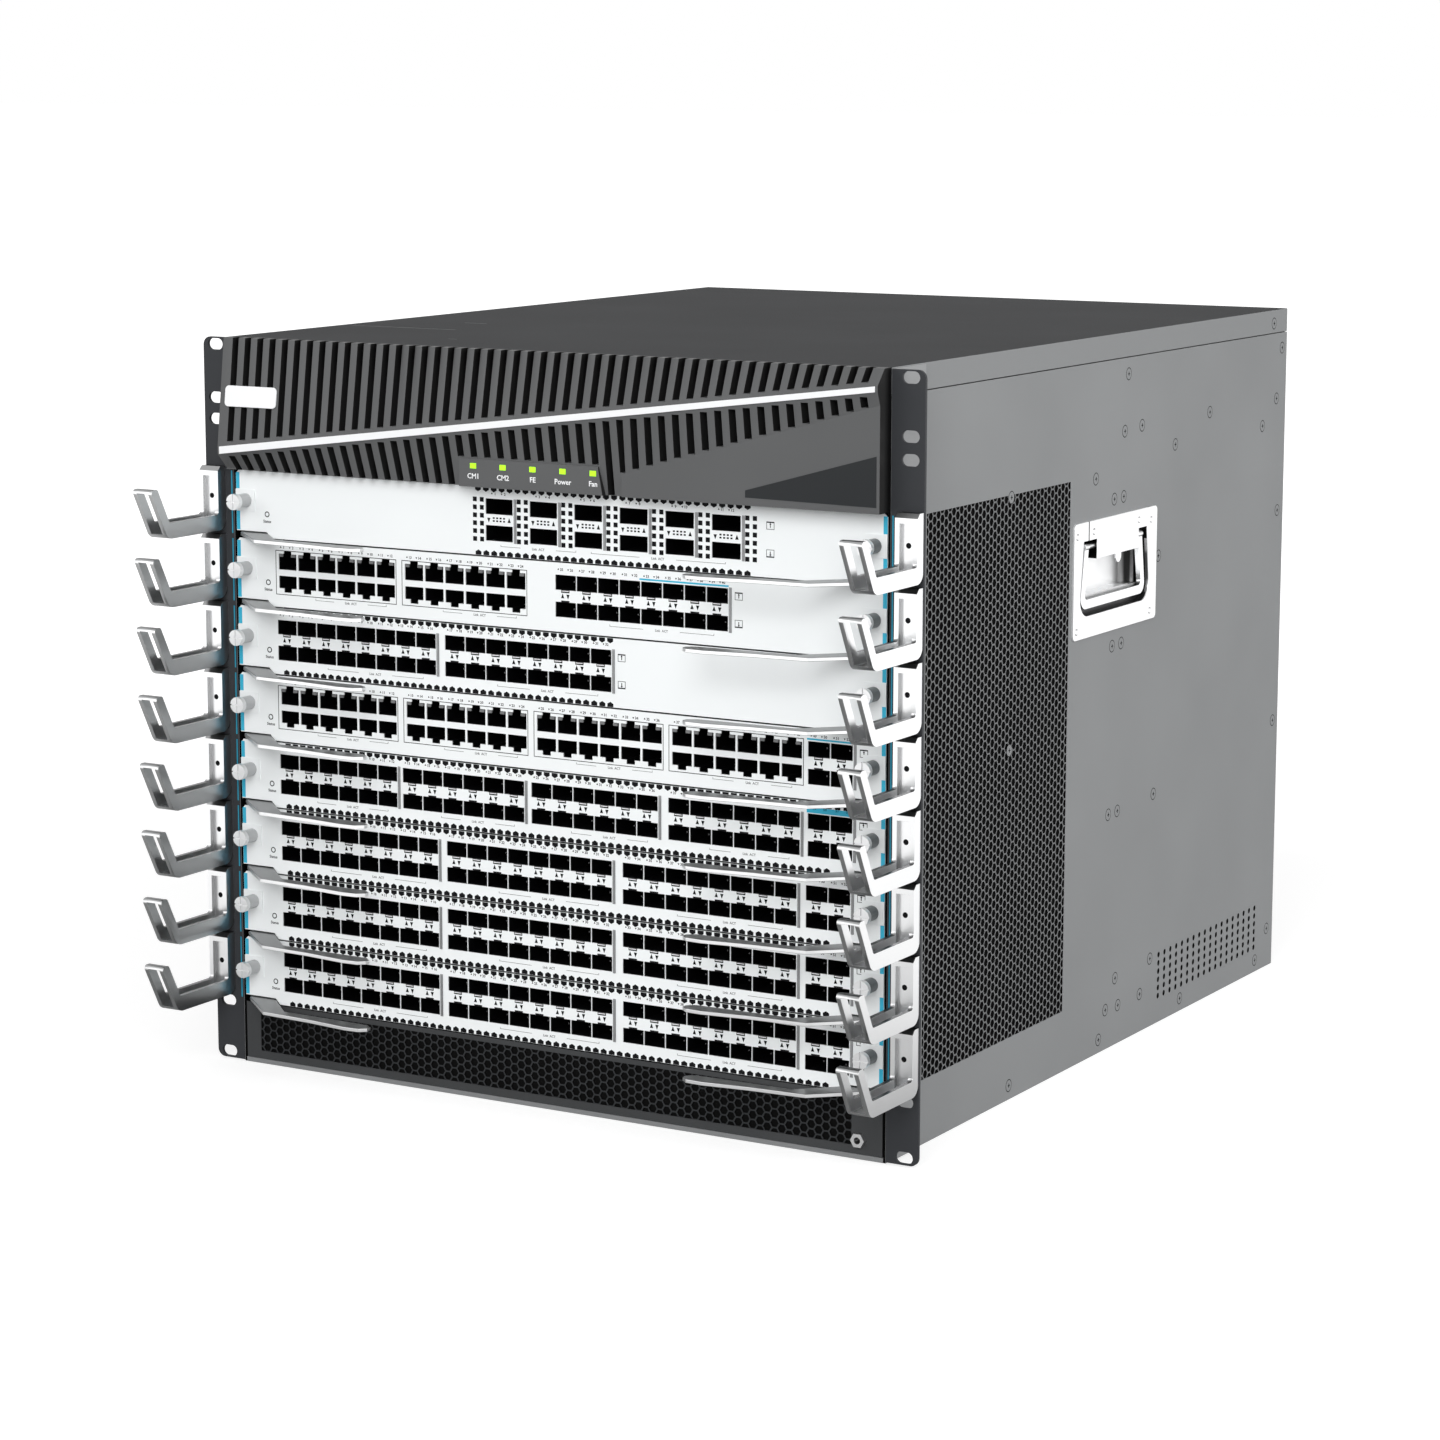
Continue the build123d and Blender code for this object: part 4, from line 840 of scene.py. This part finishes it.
def makeCard(number):
    body = f"card_{number}"
    low = cardLow(number)
    dress(joinUp(cardInks(number, low), f"cardMarks{number}"), "blackInk", body, smooth=False)
    dress(joinUp(cardGreys(number, low), f"cardGreys{number}"), "greyInk", body, smooth=False)
    dress(joinUp(cardStrips(number, low), f"cardStrips{number}"), "cyanInk", body, smooth=False)
    gaskets = cardGaskets(number, low)
    if gaskets:
        dress(joinUp(gaskets, f"portGaskets{number}"), "gasketMetal", body)
    latches = [smallLatches(start, columns, low) for kind, start, columns in cardPorts[number] if kind == "small"]
    if latches:
        dress(joinUp(latches, f"portLatches{number}"), "seatPaint", body, smooth=False)
    print("card dressed", number)


def copyCard(source, number):
    drop = (0, 0, cardLow(number) - cardLow(source))
    for family in cardFamilies:
        twin = movedCopy(bpy.data.objects[f"{family}{source}"], drop)
        twin.name = f"{family}{number}"
        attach(twin, f"card_{number}")
    print("card copied", number)


for number in range(1, 7):
    makeCard(number)
for number in (7, 8):
    copyCard(6, number)

# bezel inlay, lamp words, painted cyan reflections on the ears and the cover's pressed lines

bezelTrim = {"panelY": -12.5, "inlay": [(137.5, 371.9), (137.5, 368.0), (218.6, 367.0), (218.6, 394.7)],
             "inlayOut": 0.05, "inlayThick": 0.3, "words": ["CM1", "CM2", "FE", "Power", "Fan"],
             "firstWord": -41.0, "wordStep": 20.1, "wordFoot": 368.4, "wordSize": 4.2, "wordOut": 0.03}


def makeInlay():
    clearPick()
    bpy.ops.mesh.primitive_plane_add(size=1, location=(0, 0, 0), rotation=(math.radians(90), 0, 0))
    inlay = bpy.context.object
    inlay.name = "bezelInlay"
    setPlace(inlay)
    corners = sorted(inlay.data.vertices, key=lambda v: (v.co.x, v.co.z))
    (x0, top), (_, foot), (x1, footRight), (_, topRight) = bezelTrim["inlay"]
    for vertex, (x, z) in zip(corners, ((x0, foot), (x0, top), (x1, footRight), (x1, topRight))):
        vertex.co = (x * mm, (bezelTrim["panelY"] - bezelTrim["inlayOut"]) * mm, z * mm)
    thicken(inlay, bezelTrim["inlayThick"])
    dress(inlay, "insetPaint", "chassis", smooth=False)


makeInlay()
wordY = bezelTrim["panelY"] - bezelTrim["wordOut"]
words = [addWord(word, bezelTrim["wordSize"],
                 (bezelTrim["firstWord"] + place * bezelTrim["wordStep"], wordY, bezelTrim["wordFoot"]))
         for place, word in enumerate(bezelTrim["words"])]
dress(joinUp(words, "lampWords"), "platePlastic", "chassis", smooth=False)

# one thin cyan line along each ear's inner bend beside each card: painted reflection of the card
earReflection = {"inner": 221.9, "outer": 222.8, "deep": (-0.06, 0.02), "low": 1.5, "high": 39.0}
lines = []
for number in range(1, card["count"] + 1):
    low = cardLow(number)
    for side in (-1, 1):
        a, b = sorted((side * earReflection["inner"], side * earReflection["outer"]))
        lines.append(addBlock("line", (a, earReflection["deep"][0], low + earReflection["low"]),
                              (b, earReflection["deep"][1], low + earReflection["high"])))
dress(joinUp(lines, "earCyanReflections"), "cyanReflection", "chassis", smooth=False)

coverLine = {"tall": (441.68, 441.74), "bevel": 0.02,
             "lines": [(-213.0, 111.0, -136.0, 112.2), (-165.5, 164.5, -149.0, 165.7), (-98.5, 48.0, -92.5, 49.0)]}
lines = [addBlock("line", (x0, y0, coverLine["tall"][0]), (x1, y1, coverLine["tall"][1]), coverLine["bevel"])
         for x0, y0, x1, y1 in coverLine["lines"]]
dress(joinUp(lines, "coverLines"), "insetPaint", "chassis", smooth=False)
print("bezel, ears and cover dressed")

# hooks: painted shade as a black disc deep in each screw hole; handle plates: rivet heads and the rounded tab over
# the pocket

hookHole = {"x": 234.1, "y": -3.9, "z": 23.8, "radius": 1.55, "deep": 0.2, "sides": 16}
handleTrim = {"face": 222.15, "rivet": 2.1, "flat": 0.35,
              "rivets": [(236.0, 324.6), (259.1, 325.7), (324.1, 326.1), (342.3, 324.4), (342.3, 267.9),
                         (236.3, 267.7)],
              "tab": {"x": (221.2, 222.1), "y": (290.9, 298.8), "z": (307.3, 309.2), "sides": 28, "bevel": 0.2}}


def makeHookHoles():
    ends = [addRod(hookHole["sides"], hookHole["radius"], hookHole["deep"],
                   (side * hookHole["x"], hookHole["y"], cardLow(number) + hookHole["z"]), alongY)
            for number in range(1, card["count"] + 1) for side in (-1, 1)]
    dress(joinUp(ends, "hookHoleShades"), "blackInk", "chassis", smooth=False)


def makeRivets():
    heads = []
    for y, z in handleTrim["rivets"]:
        clearPick()
        bpy.ops.mesh.primitive_uv_sphere_add(segments=16, ring_count=8, radius=handleTrim["rivet"] * mm,
                                             location=(handleTrim["face"] * mm, y * mm, z * mm))
        head = bpy.context.object
        head.scale = (handleTrim["flat"], 1, 1)
        setPlace(head)
        heads.append(head)
    return joinUp(heads, "handleRivetsRight")


def makeTab():
    tab = handleTrim["tab"]
    (x0, x1), (y0, y1), (z0, z1) = tab["x"], tab["y"], tab["z"]
    flat = addBlock("handleTabRight", (x0, y0, z0), (x1, y1, z1))
    end = addRod(tab["sides"], (y1 - y0) / 2, x1 - x0, ((x0 + x1) / 2, (y0 + y1) / 2, z0), alongX)
    combine(flat, end, "UNION")
    soften(flat, tab["bevel"])
    return flat


makeHookHoles()
for piece in (makeRivets(), makeTab()):
    dressBoth(piece, "satinMetal")
print("handles dressed")

# finishes of the CAD nodes

nodeFinish = {"chassis_base": "moduleGrey", "top_cover": "coverShadePaint", "power_deck": "zincSheet",
              "midplane": "boardGreen", "front_bezel": "bezelPlastic", "light_strip": "platePlastic",
              "badge_plate": "platePlastic", "status_lamps": "lampGreen", "intake_panel": "intakePaint",
              "ground_jack": "leverMetal", "cable_hooks": "satinMetal", "fan_tray": "moduleGrey",
              "fan_rotor_left": "fanBlack", "fan_rotor_right": "fanBlack"}
familyFinish = {"side_panel": "sidePaint", "rack_ear": "earPaint", "card_guide": "zincSheet",
                "handle_plate": "handleMetal", "handle_bail": "satinMetal", "power_supply": "moduleGrey"}
edges = {"cable_hooks": 0.9, "front_bezel": 0.35, "rack_ear": 0.3, "handle_plate": 0.5, "lever": 0.35,
         "thumbscrews": 0.3, "top_cover": 0.5, "power_supply": 0.5, "light_strip": 0.2, "handle_bail": 0.5,
         "badge_plate": 0.3}
edgeLook = {"weld": 0.01, "flat": 1, "segments": 3, "sharp": 40}


def finishOf(name):
    if "lever" in name:
        return "leverMetal"
    if "thumbscrews" in name:
        return "screwMetal"
    if name in nodeFinish:
        return nodeFinish[name]
    return next((look for family, look in familyFinish.items() if name.startswith(family)), "cardPaint")


def roundEdges(node, width):
    weld = node.modifiers.new("weld", "WELD")
    weld.merge_threshold = edgeLook["weld"] * mm
    flat = node.modifiers.new("flat", "DECIMATE")
    flat.decimate_type = "DISSOLVE"
    flat.angle_limit = math.radians(edgeLook["flat"])
    edge = node.modifiers.new("edge", "BEVEL")
    edge.width = width * mm
    edge.segments = edgeLook["segments"]
    edge.limit_method = "ANGLE"
    edge.angle_limit = math.radians(edgeLook["sharp"])
    edge.harden_normals = True


for name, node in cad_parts.items():
    node.data.materials.clear()
    node.data.materials.append(finishes[finishOf(name)])
    width = next((size for part, size in edges.items() if part in name), None)
    if width:
        roundEdges(node, width)
print("CAD nodes dressed", len(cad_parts))

# floor, light and camera

view = {"place": (1196.1, -1858.5, 612.0), "turn": 30.21, "down": 9.8, "roll": -0.06, "lens": 97.73, "sensor": 36}
floorLook = {"size": 60, "height": -0.0002, "bounce": (0.4, 0.4, 0.4), "rough": 0.9, "white": 0.68,
             "shade": (0.46, 0.46, 0.46), "near": 0.9, "far": 1.8, "glossyNear": 0.3, "glossyFar": 0.6}
studio = {"soft": 0.5, "plain": 1.0}


def seenDirectly(tree):
    # one where the camera, a reflection or a clear piece sees the surface
    path = tree.nodes.new("ShaderNodeLightPath")
    seen = addMath(tree, "MAXIMUM", path.outputs["Is Camera Ray"], path.outputs["Is Glossy Ray"])
    return addMath(tree, "MAXIMUM", seen, path.outputs["Is Transmission Ray"])


def riseFrom(tree, near, far, low):
    place = tree.nodes.new("ShaderNodeTexCoord")
    away = tree.nodes.new("ShaderNodeVectorMath")
    away.operation = "LENGTH"
    tree.links.new(place.outputs["Object"], away.inputs[0])
    fade = tree.nodes.new("ShaderNodeMapRange")
    fade.inputs["From Min"].default_value = near
    fade.inputs["From Max"].default_value = far
    fade.inputs["To Min"].default_value = low
    tree.links.new(away.outputs["Value"], fade.inputs["Value"])
    return fade.outputs["Result"]


def mixShaders(tree, share, first, second):
    pick = tree.nodes.new("ShaderNodeMixShader")
    tree.links.new(share, pick.inputs[0])
    tree.links.new(first, pick.inputs[1])
    tree.links.new(second, pick.inputs[2])
    return pick.outputs[0]


def makeFloor():
    # pale and lit near the object, plain white far away, so that no horizon shows; reflections see the
    # white only from a short way off
    clearPick()
    bpy.ops.mesh.primitive_plane_add(size=floorLook["size"], location=(0, 0, floorLook["height"]))
    floor = bpy.context.object
    floor.name = "floor"
    paint = bpy.data.materials.new("floorPaint")
    paint.use_nodes = True
    tree = paint.node_tree
    bounce = tree.nodes["Principled BSDF"]
    bounce.inputs["Base Color"].default_value = (*floorLook["bounce"], 1)
    bounce.inputs["Roughness"].default_value = floorLook["rough"]
    shade = tree.nodes.new("ShaderNodeBsdfDiffuse")
    shade.inputs["Color"].default_value = (*floorLook["shade"], 1)
    white = tree.nodes.new("ShaderNodeEmission")
    glow = riseFrom(tree, floorLook["near"], floorLook["far"], floorLook["white"])
    tree.links.new(glow, white.inputs["Strength"])
    pale = tree.nodes.new("ShaderNodeAddShader")
    tree.links.new(shade.outputs[0], pale.inputs[0])
    tree.links.new(white.outputs[0], pale.inputs[1])
    distant = riseFrom(tree, floorLook["glossyNear"], floorLook["glossyFar"], 0)
    mirrored = mixShaders(tree, distant, bounce.outputs[0], pale.outputs[0])
    path = tree.nodes.new("ShaderNodeLightPath")
    seen = mixShaders(tree, seenDirectly(tree), bounce.outputs[0], mirrored)
    final = mixShaders(tree, path.outputs["Is Camera Ray"], seen, pale.outputs[0])
    tree.links.new(final, tree.nodes["Material Output"].inputs["Surface"])
    floor.data.materials.append(paint)
    floor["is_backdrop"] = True


makeFloor()

lights = [{"place": (1.3, -3.3, 1.9), "aim": (0, 0.1, 0.25), "size": 2.4, "power": 96},
          {"place": (3.4, 0.3, 1.3), "aim": (0.1, 0.3, 0.25), "size": 2.0, "power": 58},
          {"place": (-2.2, -2.4, 1.8), "aim": (0, 0.1, 0.2), "size": 2.0, "power": 22}]
for light in lights:
    bpy.ops.object.light_add(type="AREA", location=light["place"])
    lamp = bpy.context.object
    lamp.data.size = light["size"]
    lamp.data.energy = light["power"]
    aim = [t - p for t, p in zip(light["aim"], light["place"])]
    level = math.hypot(aim[0], aim[1])
    lamp.rotation_euler = (math.atan2(level, -aim[2]), 0, math.atan2(-aim[0], aim[1]))

world = bpy.data.worlds.new("studio")
bpy.context.scene.world = world
world.use_nodes = True
nodes, wires = world.node_tree.nodes, world.node_tree.links
soft = nodes["Background"]
plain = nodes.new("ShaderNodeBackground")
for light, strength in ((soft, studio["soft"]), (plain, studio["plain"])):
    light.inputs["Color"].default_value = (1, 1, 1, 1)
    light.inputs["Strength"].default_value = strength
around = mixShaders(world.node_tree, seenDirectly(world.node_tree), soft.outputs[0], plain.outputs[0])
wires.new(around, nodes["World Output"].inputs["Surface"])

bpy.ops.object.camera_add(location=[v * mm for v in view["place"]],
                          rotation=(math.radians(90 - view["down"]), math.radians(view["roll"]),
                                    math.radians(view["turn"])))
camera = bpy.context.object
camera.data.lens = view["lens"]
camera.data.sensor_width = view["sensor"]
bpy.context.scene.camera = camera
bpy.context.scene.view_settings.view_transform = "Standard"
print("light and camera set")

low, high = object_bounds()
